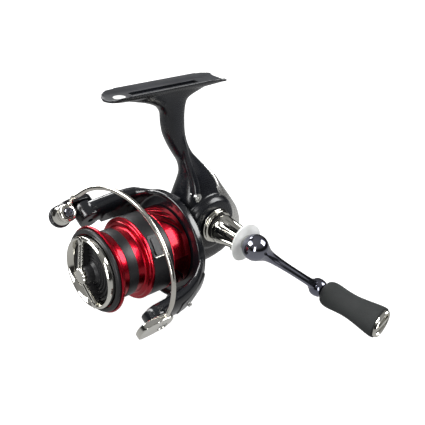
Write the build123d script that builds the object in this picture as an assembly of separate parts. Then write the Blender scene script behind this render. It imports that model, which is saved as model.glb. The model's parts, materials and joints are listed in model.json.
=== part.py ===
from build123d import *
import math
import os

# Small spinning reel, in millimetres.
# Frame: the origin is the middle of the foot's seat, +Z points out of the foot,
# -Y points forward (the spool's front) and +X is the side the handle is on.

# ---- driving dimensions -------------------------------------------------
SPOOL_Z = -78.5            # height of the spool, rotor and pinion axis
DRIVE_Y = 24.4             # handle axis, parallel to X
DRIVE_Z = -68.4
CRANK_GEAR_Y = 30.5        # oscillation gear axis, parallel to X
CRANK_GEAR_Z = -79.5
STROKE = 12.0              # travel of the spool shaft
BAIL_Y = -23.0             # bail axis, across the spool axis
BAIL_TILT = 28.0           # turn of the rotor at rest, degrees about +Y

FOOT_LENGTH = 62.6
FOOT_WIDTH = 12.8
FOOT_EDGE = 1.8            # how far the seat's edges curl up
SLOT_WIDTH = 3.0           # blind slot along the seat
SLOT_LENGTH = 36.6
SLOT_DEPTH = 1.5
CASE_HALF_WIDTH = 11.0
SPLIT_X = 3.6              # joint face of the housing and the side cover
WALL = 2.0

MAIN_SHAFT_R = 1.75
SHAFT_FRONT = -42.2
PINION_R = 2.95            # pinion sleeve
PINION_TIP_R = 3.3
PINION_TEETH = 10
DRIVE_SHAFT_R = 2.95
DRIVE_GEAR_R = 13.2
DRIVE_GEAR_TEETH = 53
SMALL_GEAR_TEETH = 14
CRANK_GEAR_TEETH = 28
GEAR_MODULE = 0.6
RUNNING_GAP = 0.05

LIP_R = 20.2               # spool
ARBOR_R = 15.8
FLANGE_R = 19.6
SKIRT_R = 19.5
SKIRT_IN_R = 18.3
SPOOL_FRONT = -35.4
SPOOL_REAR = 4.0
CHAMBER_R = 11.5
KNOB_BAR_ANGLE = 110.0     # direction of the drag knob's bar, degrees from +X
CLIP_ANGLE = 38.0

ROTOR_RIM_R = 26.84
ROTOR_RIM_Y = 6.9
ARM_R = 33.0
ARM_THICK = 3.8
WIRE_R = 0.85
GUIDE_Z = -86.9            # rod that keeps the oscillation slider upright

BALL_X = 40.0
BALL_R = 6.3
KNOB_IN_X = 58.0
KNOB_LENGTH = 33.0
KNOB_Y = 59.1
KNOB_Z = -96.7
KNOB_TILT = -36.0          # turn of the grip's broad side about its own axis

os.makedirs("parts", exist_ok=True)
made = []


# ---- helpers ------------------------------------------------------------
def save(name, *solids):
    """Write one node, which may hold several separate solids."""
    pieces = []
    for shape in solids:
        pieces.extend(shape.solids())
    whole = pieces[0] if len(pieces) == 1 else Compound(children=pieces)
    export_step(whole, f"parts/{name}.step")
    made.append((name, sum(piece.volume for piece in pieces)))


def rod(start, direction, radius, length):
    """Round bar from start along direction."""
    return extrude(Plane(origin=start, z_dir=direction) * Circle(radius), length)


def tube(start, direction, outer, inner, length):
    """Round tube from start along direction."""
    return rod(start, direction, outer, length) - rod(start, direction, inner, length)


def turned_y(points, height=SPOOL_Z):
    """Turn (radius, y) points about the spool axis at the given height."""
    plane = Plane(origin=(0, 0, height), x_dir=(1, 0, 0), z_dir=(0, 0, 1))
    face = make_face(plane * Polyline(points, close=True))
    return revolve(face, Axis((0, 0, height), (0, 1, 0)))


def turned_x(points, y=DRIVE_Y, z=DRIVE_Z):
    """Turn (x, radius) points about an axis parallel to X."""
    plane = Plane(origin=(0, y, z), x_dir=(1, 0, 0), z_dir=(0, -1, 0))
    face = make_face(plane * Polyline(points, close=True))
    return revolve(face, Axis((0, y, z), (1, 0, 0)))


def side_face(points, x, radius=0.0):
    """Closed outline of (y, z) points on the plane at x, with rounded corners."""
    sketch = Sketch() + make_face(Polyline(points, close=True))
    if radius > 0:
        sketch = fillet(sketch.vertices(), radius)
    return Plane(origin=(x, 0, 0), x_dir=(0, 1, 0), z_dir=(1, 0, 0)) * sketch


def spread(count, start=0.0):
    """Angles of count places evenly round a circle, in degrees."""
    return [start + 360.0 * i / count for i in range(count)]


def round_spool(shape, angle):
    """Turn a shape about the spool axis (positive lifts +X towards +Z)."""
    return shape.rotate(Axis((0, 0, SPOOL_Z), (0, -1, 0)), angle)


def gear(x0, x1, y, z, teeth, bore, phase=0.0):
    """Spur gear with plain straight-sided teeth between x0 and x1."""
    pitch_r = GEAR_MODULE * teeth / 2
    root_r = pitch_r - 1.2 * GEAR_MODULE
    tip_r = pitch_r + 0.75 * GEAR_MODULE
    root_half = 0.95 * GEAR_MODULE
    tip_half = 0.35 * GEAR_MODULE
    blank = rod((x0, y, z), (1, 0, 0), root_r, x1 - x0)
    plane = Plane(origin=(x0, y, z), x_dir=(0, 1, 0), z_dir=(1, 0, 0))
    tooth_points = [(root_r - 0.3, -root_half), (tip_r, -tip_half),
                    (tip_r, tip_half), (root_r - 0.3, root_half)]
    tooth = extrude(plane * make_face(Polyline(tooth_points, close=True)), x1 - x0)
    axis = Axis((0, y, z), (1, 0, 0))
    for angle in spread(teeth, phase):
        blank += tooth.rotate(axis, angle)
    return blank - rod((x0 - 1, y, z), (1, 0, 0), bore, x1 - x0 + 2)


def on_rotor(shape):
    """Place a shape drawn about the Y axis, with the arms along X, on the rotor."""
    return shape.rotate(Axis.Y, BAIL_TILT).moved(Location((0, 0, SPOOL_Z)))


# ---- body ---------------------------------------------------------------
CASE_OUTLINE = [(8.6, -93), (8.6, -60), (12, -52), (17, -45), (24, -43.5),
                (31, -52), (39, -61.8), (45, -70), (47.8, -78), (46.5, -88), (41, -93)]
STEM_SECTIONS = [          # height, middle along Y, half width, half length
    (-1.8, 1.0, 5.2, 25.5), (-3.2, 1.4, 4.9, 20.0), (-4.8, 2.0, 4.7, 14.0),
    (-6.3, 2.6, 4.6, 10.2), (-7.8, 3.6, 4.6, 8.1), (-9.6, 4.3, 4.6, 6.8),
    (-12.0, 4.9, 4.6, 5.9), (-16.5, 5.3, 4.6, 5.7), (-22.0, 6.4, 4.6, 5.3),
    (-27.5, 8.8, 4.6, 4.7), (-32.5, 11.9, 4.6, 4.5), (-37.5, 16.0, 5.0, 5.0),
    (-43.0, 20.0, 6.0, 6.2), (-49.0, 22.8, 7.4, 8.6)]


def foot():
    """Foot plate: a shallow trough lengthwise, thin at both ends."""
    half = FOOT_WIDTH / 2
    end = FOOT_LENGTH / 2
    plan = [(-half, -end), (half, -end), (half, end), (half - 2.5, end), (-half, end - 5)]
    sketch = Sketch() + make_face(Polyline(plan, close=True))
    front = [v for v in sketch.vertices() if v.Y < 0]
    sketch = fillet(front, half - 0.6)
    rear = [v for v in sketch.vertices() if v.Y > end - 6]
    sketch = fillet(rear, 1.0)
    plate = extrude(Pos(0, 0, -3) * sketch, 6)
    profile = [(-end - 1, 0.25), (-25, 1.3), (-18, FOOT_EDGE), (18, FOOT_EDGE),
               (25, 1.3), (end + 1, 0.25), (end + 1, -0.7), (22, -2.2),
               (-22, -2.2), (-end - 1, -0.9)]
    plate &= extrude(side_face(profile, -10), 20)
    flat = 2.6
    with BuildSketch(Plane.XZ.offset(-60)) as trough:
        with BuildLine():
            Line((-flat, 0), (flat, 0))
            ThreePointArc((flat, 0), (4.8, 0.55), (half + 0.4, FOOT_EDGE + 0.1))
            Line((half + 0.4, FOOT_EDGE + 0.1), (half + 0.4, 8))
            Line((half + 0.4, 8), (-half - 0.4, 8))
            Line((-half - 0.4, 8), (-half - 0.4, FOOT_EDGE + 0.1))
            ThreePointArc((-half - 0.4, FOOT_EDGE + 0.1), (-4.8, 0.55), (-flat, 0))
        make_face()
    return plate - extrude(trough.sketch, 120)


def stem():
    """Leg from the foot's underside down into the gear case."""
    sections = [Pos(0, y, z) * Ellipse(a, b) for z, y, a, b in STEM_SECTIONS]
    return loft(sections)


def case_block(x0, x1, inset=0.0):
    """Slab of the gear case between x0 and x1, inset all round."""
    sketch = side_face(CASE_OUTLINE, x0, 2.4)
    if inset:
        sketch = offset(sketch, amount=-inset, kind=Kind.INTERSECTION)
    return extrude(sketch, x1 - x0)


SCREW_PLACES = [(14.0, -52.2), (42.0, -88.5), (16.0, -90.3)]
POST_R = 1.8


def housing():
    block = case_block(-CASE_HALF_WIDTH, SPLIT_X)
    outer_edges = [e for e in block.edges() if e.center().X < -CASE_HALF_WIDTH + 0.01]
    block = fillet(outer_edges, 2.2)
    block -= case_block(-CASE_HALF_WIDTH + WALL, SPLIT_X + 1, WALL)
    leg = stem() - case_block(-CASE_HALF_WIDTH + WALL, CASE_HALF_WIDTH - WALL, WALL)
    leg -= case_block(SPLIT_X, CASE_HALF_WIDTH + 5)
    block += leg
    block += foot()
    # bosses for the drive bearing, the pinion's rear bush and the guide rod
    block += rod((-10.0, DRIVE_Y, DRIVE_Z), (1, 0, 0), 7.4, 1.6)
    block += Box(5.0, 2.0, 11.0).moved(Location((0, 20.4, -86.2)))
    block += rod((0, 10.0, GUIDE_Z), (0, 1, 0), 2.6, 3.0)
    # shaft passages and the seat slots
    block -= rod((-12, DRIVE_Y, DRIVE_Z), (1, 0, 0), 5.5, 4.0)
    block -= rod((0, 5, SPOOL_Z), (0, 1, 0), 6.0, 6.6)
    block -= rod((0, 18, SPOOL_Z), (0, 1, 0), PINION_TIP_R, 6)
    block -= rod((0, 9.4, GUIDE_Z), (0, 1, 0), 1.0, 29.6)
    block -= Box(SLOT_WIDTH, SLOT_LENGTH, 2 * SLOT_DEPTH)
    for y, z in SCREW_PLACES:
        block += rod((-9.4, y, z), (1, 0, 0), POST_R, 9.4 + SPLIT_X) & case_block(
            -CASE_HALF_WIDTH + 1, SPLIT_X)
        block -= rod((-6.0, y, z), (1, 0, 0), 0.8, 20)
    return block


def side_cover():
    block = case_block(SPLIT_X, CASE_HALF_WIDTH)
    outer_edges = [e for e in block.edges() if e.center().X > CASE_HALF_WIDTH - 0.01]
    block = fillet(outer_edges, 2.2)
    block -= case_block(SPLIT_X - 1, CASE_HALF_WIDTH - WALL, WALL)
    boss = turned_x([(8.0, 0), (8.0, 12.8), (11.2, 12.4), (12.4, 10.6), (12.8, 9.2), (12.8, 0)])
    block += boss
    block -= rod((5, DRIVE_Y, DRIVE_Z), (1, 0, 0), 5.5, 10)
    for y, z in SCREW_PLACES:
        block += rod((SPLIT_X, y, z), (1, 0, 0), POST_R, 6.0) & case_block(
            SPLIT_X, CASE_HALF_WIDTH - 0.4)
        block -= rod((SPLIT_X - 1, y, z), (1, 0, 0), 1.1, 20)
        block -= rod((9.6, y, z), (1, 0, 0), 2.0, 10)
    block -= rod((0, 5, SPOOL_Z), (0, 1, 0), 6.0, 6.6)
    # post that holds the oscillation gear's axle
    post = rod((7.2, CRANK_GEAR_Y, CRANK_GEAR_Z), (1, 0, 0), 2.6, 2.2)
    block += post
    block -= rod((5.0, CRANK_GEAR_Y, CRANK_GEAR_Z), (1, 0, 0), 1.5, 4.0)
    return block


def rear_cover():
    """Bright tail trim that wraps the rear edge of the case."""
    outline = [(27.5, -46.5), (31, -52), (39, -61.8), (45, -70), (47.8, -78), (47.0, -86)]
    outer = [(28.6, -45.0), (32.4, -51.3), (40.6, -61.1), (46.6, -69.4),
             (49.4, -77.8), (48.4, -87.0)]
    band = side_face(outline + outer[::-1], -9.4)
    trim = extrude(band, 18.8)
    trim -= case_block(-CASE_HALF_WIDTH - 5, CASE_HALF_WIDTH + 5)
    trim -= stem()
    return trim


def body():
    shell = housing()
    cover = side_cover()
    save("body_housing", shell - cover)
    save("side_cover", cover)
    tail = rear_cover()
    screw = rod((0, 49.6, -78.5), (0, -1, 0), 1.5, 0.9)
    save("rear_cover", tail - screw)
    screws = [screw & rod((0, 49.0, -78.5), (0, -1, 0), 1.5, 9)]
    for y, z in SCREW_PLACES:
        head = rod((9.6, y, z), (1, 0, 0), 1.95, 1.5)
        slot_a = Box(1.0, 2.2, 0.5).moved(Location((11.1, y, z)))
        slot_b = Box(1.0, 0.5, 2.2).moved(Location((11.1, y, z)))
        screws.append(head + rod((-5.0, y, z), (1, 0, 0), 0.8, 14.7) - slot_a - slot_b)
    save("body_screws", *screws)

    bearing = [(0, DRIVE_SHAFT_R + RUNNING_GAP), (0, 3.9), (0.25, 4.1), (0.25, 4.5), (0, 4.7),
               (0, 5.5), (2.6, 5.5), (2.6, 4.7), (2.35, 4.5), (2.35, 4.1), (2.6, 3.9),
               (2.6, DRIVE_SHAFT_R + RUNNING_GAP)]
    save("drive_bearing_right", turned_x([(x - 11.0, r) for x, r in bearing]))
    save("drive_bearing_left", turned_x([(x + 9.6, r) for x, r in bearing]))
    save("pinion_front_bearing",
         tube((0, 8.8, SPOOL_Z), (0, 1, 0), 6.0, PINION_R + RUNNING_GAP, 2.8))
    save("pinion_rear_bush",
         tube((0, 19.6, SPOOL_Z), (0, 1, 0), PINION_TIP_R, 2.45 + RUNNING_GAP, 1.9))
    save("guide_rod", rod((0, 9.4, GUIDE_Z), (0, 1, 0), 1.0, 29.6))
    cap = turned_x([(-11.3, 0), (-11.3, 7.0), (-12.1, 7.0), (-12.9, 6.2), (-13.1, 0)])
    coin_slot = Box(1.4, 9.0, 1.4).moved(Location((-13.1, DRIVE_Y, DRIVE_Z)))
    save("shaft_cap", cap + tube((-11.3, DRIVE_Y, DRIVE_Z), (1, 0, 0), 5.4, 4.4, 0.3) - coin_slot)


# ---- anti-reverse clutch on the front of the case -------------------------
def clutch():
    flange = turned_y([(7.75, 1.6), (11.0, 1.6), (11.0, 6.6), (13.2, 7.0), (13.2, 8.6),
                       (7.75, 8.6)])
    save("clutch_housing", flange)
    rollers = []
    for angle in spread(8, 10.0):
        roller = rod((6.5, 2.2, SPOOL_Z), (0, 1, 0), 1.2, 5.6)
        rollers.append(round_spool(roller, angle))
    save("clutch_rollers", *rollers)
    plate = tube((0, 0.6, SPOOL_Z), (0, 1, 0), 11.0, 6.7, 1.0)
    save("clutch_cover", plate)
    ramp = extrude(side_face([(7.7, -54.6), (8.6, -54.6), (12.5, -54.6), (12.5, -57.4),
                              (8.6, -59.0)], -2.5), 5.0)
    save("trip_ramp", ramp - case_block(-CASE_HALF_WIDTH, CASE_HALF_WIDTH))


# ---- drive train ----------------------------------------------------------
def drive():
    plate = turned_x([(-7.6, DRIVE_SHAFT_R), (-7.6, 5.2), (-6.6, 5.2), (-6.6, DRIVE_GEAR_R),
                      (-4.4, DRIVE_GEAR_R), (-4.4, 9.4), (-5.2, 9.2), (-5.2, 5.2),
                      (-3.2, 5.2), (-3.2, DRIVE_SHAFT_R)])
    tooth = Box(1.2, DRIVE_GEAR_R - 9.7, 0.55).moved(
        Location((-4.1, DRIVE_Y + (DRIVE_GEAR_R + 9.7) / 2, DRIVE_Z)))
    axis = Axis((0, DRIVE_Y, DRIVE_Z), (1, 0, 0))
    for angle in spread(DRIVE_GEAR_TEETH):
        plate += tooth.rotate(axis, angle)
    for angle in spread(5, 18.0):
        hole = rod((-8, DRIVE_Y + 7.2, DRIVE_Z), (1, 0, 0), 1.2, 6)
        plate -= hole.rotate(axis, angle)
    save("drive_gear", plate)
    shaft = turned_x([(-10.8, 0), (-10.8, DRIVE_SHAFT_R), (13.4, DRIVE_SHAFT_R), (13.4, 0)])
    save("drive_shaft", shaft)
    small = gear(3.9, 6.1, DRIVE_Y, DRIVE_Z, SMALL_GEAR_TEETH, DRIVE_SHAFT_R)
    save("oscillation_drive_gear", small)
    reach = math.degrees(math.atan2(CRANK_GEAR_Z - DRIVE_Z, CRANK_GEAR_Y - DRIVE_Y))
    phase = reach + 180.0 + 180.0 / CRANK_GEAR_TEETH + small_gear_offset(reach)
    large = gear(3.9, 6.1, CRANK_GEAR_Y, CRANK_GEAR_Z, CRANK_GEAR_TEETH, 1.4 + RUNNING_GAP,
                 phase)
    pin = rod((2.9, CRANK_GEAR_Y + STROKE / 2, CRANK_GEAR_Z), (1, 0, 0), 1.2, 1.4)
    save("oscillation_gear", large + pin)
    save("oscillation_axle", rod((3.5, CRANK_GEAR_Y, CRANK_GEAR_Z), (1, 0, 0), 1.4, 5.3)
         + rod((6.3, CRANK_GEAR_Y, CRANK_GEAR_Z), (1, 0, 0), 1.5, 2.5))


def small_gear_offset(reach):
    """How far past a tooth of the small gear the line of centres falls, as the
    matching turn of the oscillation gear."""
    step = 360.0 / SMALL_GEAR_TEETH
    past = reach % step
    return past * SMALL_GEAR_TEETH / CRANK_GEAR_TEETH


def pinion():
    sleeve = turned_y([(MAIN_SHAFT_R + RUNNING_GAP, -14.2), (PINION_R, -14.2), (PINION_R, 11.9),
                       (2.45, 11.9), (2.45, 21.4), (MAIN_SHAFT_R + RUNNING_GAP, 21.4)])
    tooth = Box(1.0, 7.2, 0.7).moved(Location((2.8, 15.5, SPOOL_Z)))
    for angle in spread(PINION_TEETH):
        sleeve += round_spool(tooth, angle) - rod((0, 10, SPOOL_Z), (0, 1, 0), 2.0, 12)
    save("pinion", sleeve)
    save("clutch_sleeve", tube((0, 1.9, SPOOL_Z), (0, 1, 0), 5.1, PINION_R, 6.0))


# ---- spool shaft ----------------------------------------------------------
def spool_shaft():
    rear = CRANK_GEAR_Y + STROKE / 2
    save("main_shaft", rod((0, SHAFT_FRONT, SPOOL_Z), (0, 1, 0), MAIN_SHAFT_R,
                           rear + 1.6 - SHAFT_FRONT))
    block = Box(4.9, 3.2, 16.4).moved(Location((-0.05, rear, -80.3)))
    block -= rod((0, rear - 5, SPOOL_Z), (0, 1, 0), MAIN_SHAFT_R, 10)
    block -= rod((0, rear - 5, GUIDE_Z), (0, 1, 0), 1.0 + RUNNING_GAP, 10)
    block -= Box(1.0, 2.6, 12.6).moved(Location((2.2, rear, CRANK_GEAR_Z + 0.3)))
    save("oscillation_slider", block)
    seat = turned_y([(MAIN_SHAFT_R, -24.0), (2.9, -24.0), (2.9, -16.7), (5.4, -16.7),
                     (5.4, -15.3), (MAIN_SHAFT_R, -15.3)])
    save("spool_seat", seat)
    washers = [tube((0, y, SPOOL_Z), (0, 1, 0), 10.6, MAIN_SHAFT_R, 0.6)
               for y in (-26.9, -28.9)]
    save("metal_drag_washers", *washers)


# ---- rotor ----------------------------------------------------------------
def arm_window(sign, outline):
    """Block over one arm, from the axis outwards, with the (y, z) outline given."""
    face = side_face(outline, 12.0)
    block = extrude(face, 40)
    return block if sign > 0 else mirror(block, Plane.YZ)


def turned_axis_y(points):
    face = make_face(Polyline(points, close=True))
    return revolve(face, Axis.Y)


PLAIN_ARM = [(6.9, -22), (6.9, 22), (1.0, 14.0), (-8, 8.4), (-20, 6.2), (-26.0, 5.4),
             (-29.2, 2.5), (-29.2, -2.5), (-26.0, -5.4), (-20, -6.2), (-8, -8.4), (1.0, -14.0)]
ROLLER_ARM = [(6.9, -22), (6.9, 22), (1.0, 15.0), (-8, 9.4), (-20, 6.0), (-25.0, 4.0),
              (-26.8, 1.6), (-26.8, -1.6), (-25.0, -3.8), (-10.5, -3.8), (-4, -9.0), (1.0, -14.0)]
ARM_IN = [(22.6, 6.9), (23.4, 2.0), (28.6, -8.0), (29.2, -14.0), (29.2, -30.0)]
ARM_OUT = [(ARM_R, -30.0), (ARM_R, -12.0), (31.6, -5.0), (29.6, 1.0), (ROTOR_RIM_R, 6.9)]


def rotor():
    cup = turned_axis_y([(PINION_R, -11), (15.8, -11), (17.6, -9.2), (17.6, 4.9), (25.2, 4.9),
                         (25.8, 3.2), (26.5, 3.2), (ROTOR_RIM_R, 5.0),
                         (ROTOR_RIM_R, ROTOR_RIM_Y), (15.8, ROTOR_RIM_Y), (15.8, -9.0),
                         (6.2, -9.0), (6.2, 1.6), (PINION_R, 1.6)])
    shell = turned_axis_y(ARM_IN + ARM_OUT)
    part = cup
    part += shell & arm_window(1, PLAIN_ARM)
    part += shell & arm_window(-1, ROLLER_ARM)
    # pivot bosses at the arm ends
    part += rod((28.4, BAIL_Y, 0), (1, 0, 0), 5.4, 4.8)
    part += rod((-28.4, BAIL_Y, 0), (-1, 0, 0), 3.7, 4.8)
    # spring and kick-lever housings inside the arms
    box = Box(6.0, 16.0, 7.6).moved(Location((-27.2, -9.0, 0.0)))
    part += chamfer(box.edges().filter_by(Axis.X), 1.2)
    plain_box = Box(5.0, 12.0, 8.0).moved(Location((27.0, -6.0, 0.0)))
    part += chamfer(plain_box.edges().filter_by(Axis.X), 1.2)
    part -= rod((-26.4, -20.0, 0.0), (0, 1, 0), 1.15, 30.0)
    part -= rod((27.4, -10.8, 0.0), (0, 1, 0), 1.9, 9.0)
    part -= rod((24.0, BAIL_Y, 0), (1, 0, 0), 1.3, 12)
    part -= rod((-24.0, BAIL_Y, 0), (-1, 0, 0), 1.3, 12)
    # windows that lighten the front disc
    for angle in spread(6, 30.0):
        part -= rod((0, -12, 11.0), (0, 1, 0), 2.6, 4).rotate(Axis.Y, angle)
    save("rotor", on_rotor(part))

    nut = extrude(Plane.XZ.offset(11.2) * RegularPolygon(5.6, 6), 2.6)
    save("rotor_nut", on_rotor(nut - rod((0, -16, 0), (0, 1, 0), PINION_R, 8)))

    skin_in = [(r + 0.01, y) for r, y in ARM_OUT]
    skin_out = [(r + 1.0, y) for r, y in ARM_OUT]
    skin = turned_axis_y(skin_in + skin_out[::-1])
    cover_outline = [(4.6, -11.5), (4.6, 11.5), (0.0, 9.6), (-8, 5.6), (-10.4, 4.4),
                     (-10.4, -3.6), (-8, -4.2), (0.0, -8.6)]
    cover = skin & arm_window(1, cover_outline)
    save("plain_arm_cover", on_rotor(cover - rod((20, -4.0, 0), (1, 0, 0), 1.05, 20)))
    cover = skin & arm_window(-1, cover_outline)
    save("roller_arm_cover", on_rotor(cover - rod((-20, -4.0, 0), (-1, 0, 0), 1.05, 20)))
    screws = []
    for sign in (-1, 1):
        screw = rod((sign * 32.6, -4.0, 0), (sign, 0, 0), 1.0, 1.0)
        screws.append(on_rotor(screw))
    save("arm_cover_screws", *screws)

    coils = []
    for i in range(5):
        ring = Plane(origin=(27.4, -10.0 + 1.6 * i, 0), z_dir=(0, 1, 0)) * Circle(1.3)
        coils.append(ring)
    turns = [sweep(Plane(origin=ring.edges()[0] @ 0, z_dir=ring.edges()[0] % 0) * Circle(0.28),
                   path=ring.edges()[0]) for ring in coils]
    save("bail_spring", *[on_rotor(t) for t in turns])
    save("kick_lever", on_rotor(rod((-26.4, -16.5, 0.0), (0, 1, 0), 0.8, 21.3)))


# ---- bail -----------------------------------------------------------------
ROLLER_CENTRE = Vector(-31.6, -34.0, 0.8)
ROLLER_AXIS = Vector(0.4555, -0.08, 0.888).normalized()
WIRE_LEAVES = Vector(-0.688, 0.603, 0.407).normalized()
WIRE_SHAPE = [  # angle round the spool axis from +X towards +Z, radius, y
    (157.0, 34.2, -30.6), (141.0, 35.6, -28.2), (122.0, 36.2, -25.6),
    (101.0, 36.4, -23.4), (80.0, 36.2, -22.0), (60.0, 36.2, -21.2),
    (41.0, 36.6, -20.9), (25.0, 36.6, -21.3), (13.0, 36.0, -22.2)]


def along_roller(distance):
    return ROLLER_CENTRE + ROLLER_AXIS * distance


def bail():
    # lever outside the roller arm, with the cap that carries the line roller
    outline = [(-17.2, -3.0), (-17.2, 3.0), (-20.4, 5.8), (-26.0, 5.6), (-34.0, 4.0),
               (-38.0, 0.5), (-38.2, -5.0), (-35.6, -7.4), (-30.0, -6.4), (-20.4, -5.8)]
    lever = extrude(side_face(outline, -36.8, 1.2), 3.2)
    lever = fillet(lever.edges().filter_by(Plane.YZ), 0.8)
    cap_start = along_roller(-6.6)
    lever += rod(cap_start, ROLLER_AXIS, 4.9, 3.4)
    lever -= rod(along_roller(-3.2), ROLLER_AXIS, 5.4, 12.0)
    lever -= rod((-38.0, BAIL_Y, 0), (1, 0, 0), 2.6, 2.6)
    lever -= rod((-37, BAIL_Y, 0), (1, 0, 0), 1.2, 12)
    lever -= rod(along_roller(-5.4), ROLLER_AXIS, 1.2, 14)
    save("bail_arm", on_rotor(lever))

    plate_outline = [(-37.6, -3.6), (-31.0, -4.4), (-20.0, -3.2), (-17.6, 1.0), (-18.6, 6.2),
                     (-25.0, 7.2), (-36.6, 5.6), (-38.2, 1.6)]
    holder = extrude(side_face(plate_outline, 33.6, 1.0), 3.0)
    holder = chamfer(holder.edges().filter_by(Plane.YZ), 0.5)
    holder -= rod((38.0, BAIL_Y, 0), (-1, 0, 0), 2.6, 2.6)
    holder -= rod((33, BAIL_Y, 0), (1, 0, 0), 1.2, 8)
    save("bail_holder", on_rotor(holder))

    pivots = []
    for sign in (-1, 1):
        seat_x = 35.4
        pivot = rod((sign * seat_x, BAIL_Y, 0), (sign, 0, 0), 2.5, 1.1)
        pivot += rod((sign * 29.0, BAIL_Y, 0), (sign, 0, 0), 1.2, seat_x - 28.8)
        slot = Box(1.0, 3.0, 0.6).moved(Location((sign * (seat_x + 1.2), BAIL_Y, 0)))
        pivots.append(on_rotor(pivot - slot))
    save("bail_pivot_screws", *pivots)

    points = []
    for angle, radius, y in WIRE_SHAPE:
        turn = math.radians(angle)
        points.append((radius * math.cos(turn), y, radius * math.sin(turn)))
    middle = along_roller(4.1)
    start = middle + WIRE_LEAVES * 2.4
    path_points = [tuple(start), (-33.0, -31.2, 8.6)] + points + [(35.2, -23.4, 4.4),
                                                                 (35.1, -24.2, 0.6)]
    path = Spline(path_points)
    section = Plane(origin=path @ 0, z_dir=path % 0) * Circle(WIRE_R)
    wire = sweep(section, path=path)
    boss = rod(along_roller(3.0), ROLLER_AXIS, 3.4, 2.2)
    boss += rod(tuple(middle), tuple(WIRE_LEAVES), 1.1, 4.6)
    boss -= rod(along_roller(2.0), ROLLER_AXIS, 1.2, 6)
    boss -= rod(along_roller(5.2), ROLLER_AXIS, 2.4, 3)
    wire = wire - extrude(side_face(plate_outline, 33.6), 3.0)
    whole = boss + wire
    save("bail_wire", on_rotor(max(whole.solids(), key=lambda s: s.volume)))

    pin = rod(along_roller(-5.3), ROLLER_AXIS, 1.2, 10.6)
    pin += rod(along_roller(5.2), ROLLER_AXIS, 2.1, 0.9)
    socket = extrude(Plane(origin=along_roller(5.5), z_dir=ROLLER_AXIS)
                     * RegularPolygon(0.9, 6), 1.0)
    save("roller_screw", on_rotor(pin - socket))

    groove = [(1.25, -2.9), (4.0, -2.9), (4.0, -1.9), (3.2, 0.4), (3.3, 1.6), (3.9, 2.3),
              (3.9, 2.8), (1.25, 2.8)]
    frame = Plane(origin=ROLLER_CENTRE, x_dir=Vector(0, 1, 0).cross(ROLLER_AXIS),
                  z_dir=Vector(0, 1, 0).cross(ROLLER_AXIS).cross(ROLLER_AXIS))
    face = make_face(frame * Polyline([(r, h) for r, h in groove], close=True))
    roller = revolve(face, Axis(ROLLER_CENTRE, frame.y_dir))
    save("line_roller", on_rotor(roller))


# ---- spool ------------------------------------------------------------------
def spool():
    profile = [(CHAMBER_R, SPOOL_FRONT), (19.4, SPOOL_FRONT), (LIP_R, -34.8), (LIP_R, -34.2),
               (19.4, -33.4), (ARBOR_R, -31.8), (ARBOR_R, -29.5), (15.5, -29.5),
               (15.5, -22.5), (ARBOR_R, -22.5), (ARBOR_R, -19.6), (18.9, -18.6),
               (FLANGE_R, -18.2), (FLANGE_R, -17.2), (18.7, -17.2), (18.7, -6.0),
               (SKIRT_R, -6.0), (SKIRT_R, 3.6), (19.1, SPOOL_REAR), (SKIRT_IN_R, SPOOL_REAR),
               (SKIRT_IN_R, -14.2), (17.4, -15.2), (7.0, -15.2), (7.0, -17.0), (2.95, -17.0),
               (2.95, -25.6), (CHAMBER_R, -25.6)]
    part = turned_y(profile)
    for group in (95.0, 215.0, 335.0):
        for i in range(5):
            slot = Box(4.0, 8.4, 0.85).rotate(Axis.X, 46.0)
            slot = slot.moved(Location((SKIRT_R - 0.2, -1.0, SPOOL_Z)))
            part -= round_spool(slot, group - 11.0 * i)
    save("spool", part)
    ring = turned_y([(17.3, -37.0), (18.9, -37.0), (19.4, -36.4), (19.4, SPOOL_FRONT),
                     (17.3, SPOOL_FRONT)])
    save("spool_front_ring", ring)
    save("arbor_band", tube((0, -29.5, SPOOL_Z), (0, 1, 0), 16.0, 15.5, 7.0))
    band = tube((0, -17.2, SPOOL_Z), (0, 1, 0), SKIRT_R, 18.7, 11.2)
    pocket = curved_bar(18.72, 24.0, -16.6, -11.0, 15.8)
    save("rear_band", band - pocket)
    clip = curved_bar(18.95, 19.9, -16.4, -11.2, 14.6)
    ridge = curved_bar(19.2, 20.3, -16.4, -11.2, 2.0).rotate(
        Axis((0, 0, SPOOL_Z), (0, -1, 0)), -12.0)
    save("line_clip", clip + ridge)
    save("felt_drag_washers", tube((0, -28.3, SPOOL_Z), (0, 1, 0), 10.9, 2.2, 1.3),
         tube((0, -26.2, SPOOL_Z), (0, 1, 0), 10.9, 3.2, 0.55))
    ring = turned_y([(10.2, -30.2), (CHAMBER_R, -30.2), (CHAMBER_R, -29.6), (10.2, -29.6)])
    gap = Box(4, 4, 3).moved(Location((0, -30, SPOOL_Z - 11)))
    save("drag_retaining_ring", ring - gap)


def curved_bar(inner, outer, y0, y1, half_angle):
    """Piece of a tube about the spool axis, centred on the clip's angle."""
    ring = tube((0, y0, SPOOL_Z), (0, 1, 0), outer, inner, y1 - y0)
    reach = 40.0
    half = math.radians(half_angle)
    wedge_points = [(0, 0), (reach * math.cos(half), -reach * math.sin(half)),
                    (reach * math.cos(half), reach * math.sin(half))]
    plane = Plane(origin=(0, y1 + 1, SPOOL_Z), x_dir=(1, 0, 0), z_dir=(0, -1, 0))
    wedge = extrude(plane * make_face(Polyline(wedge_points, close=True)), y1 - y0 + 2)
    return round_spool(ring & wedge, CLIP_ANGLE)


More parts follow.
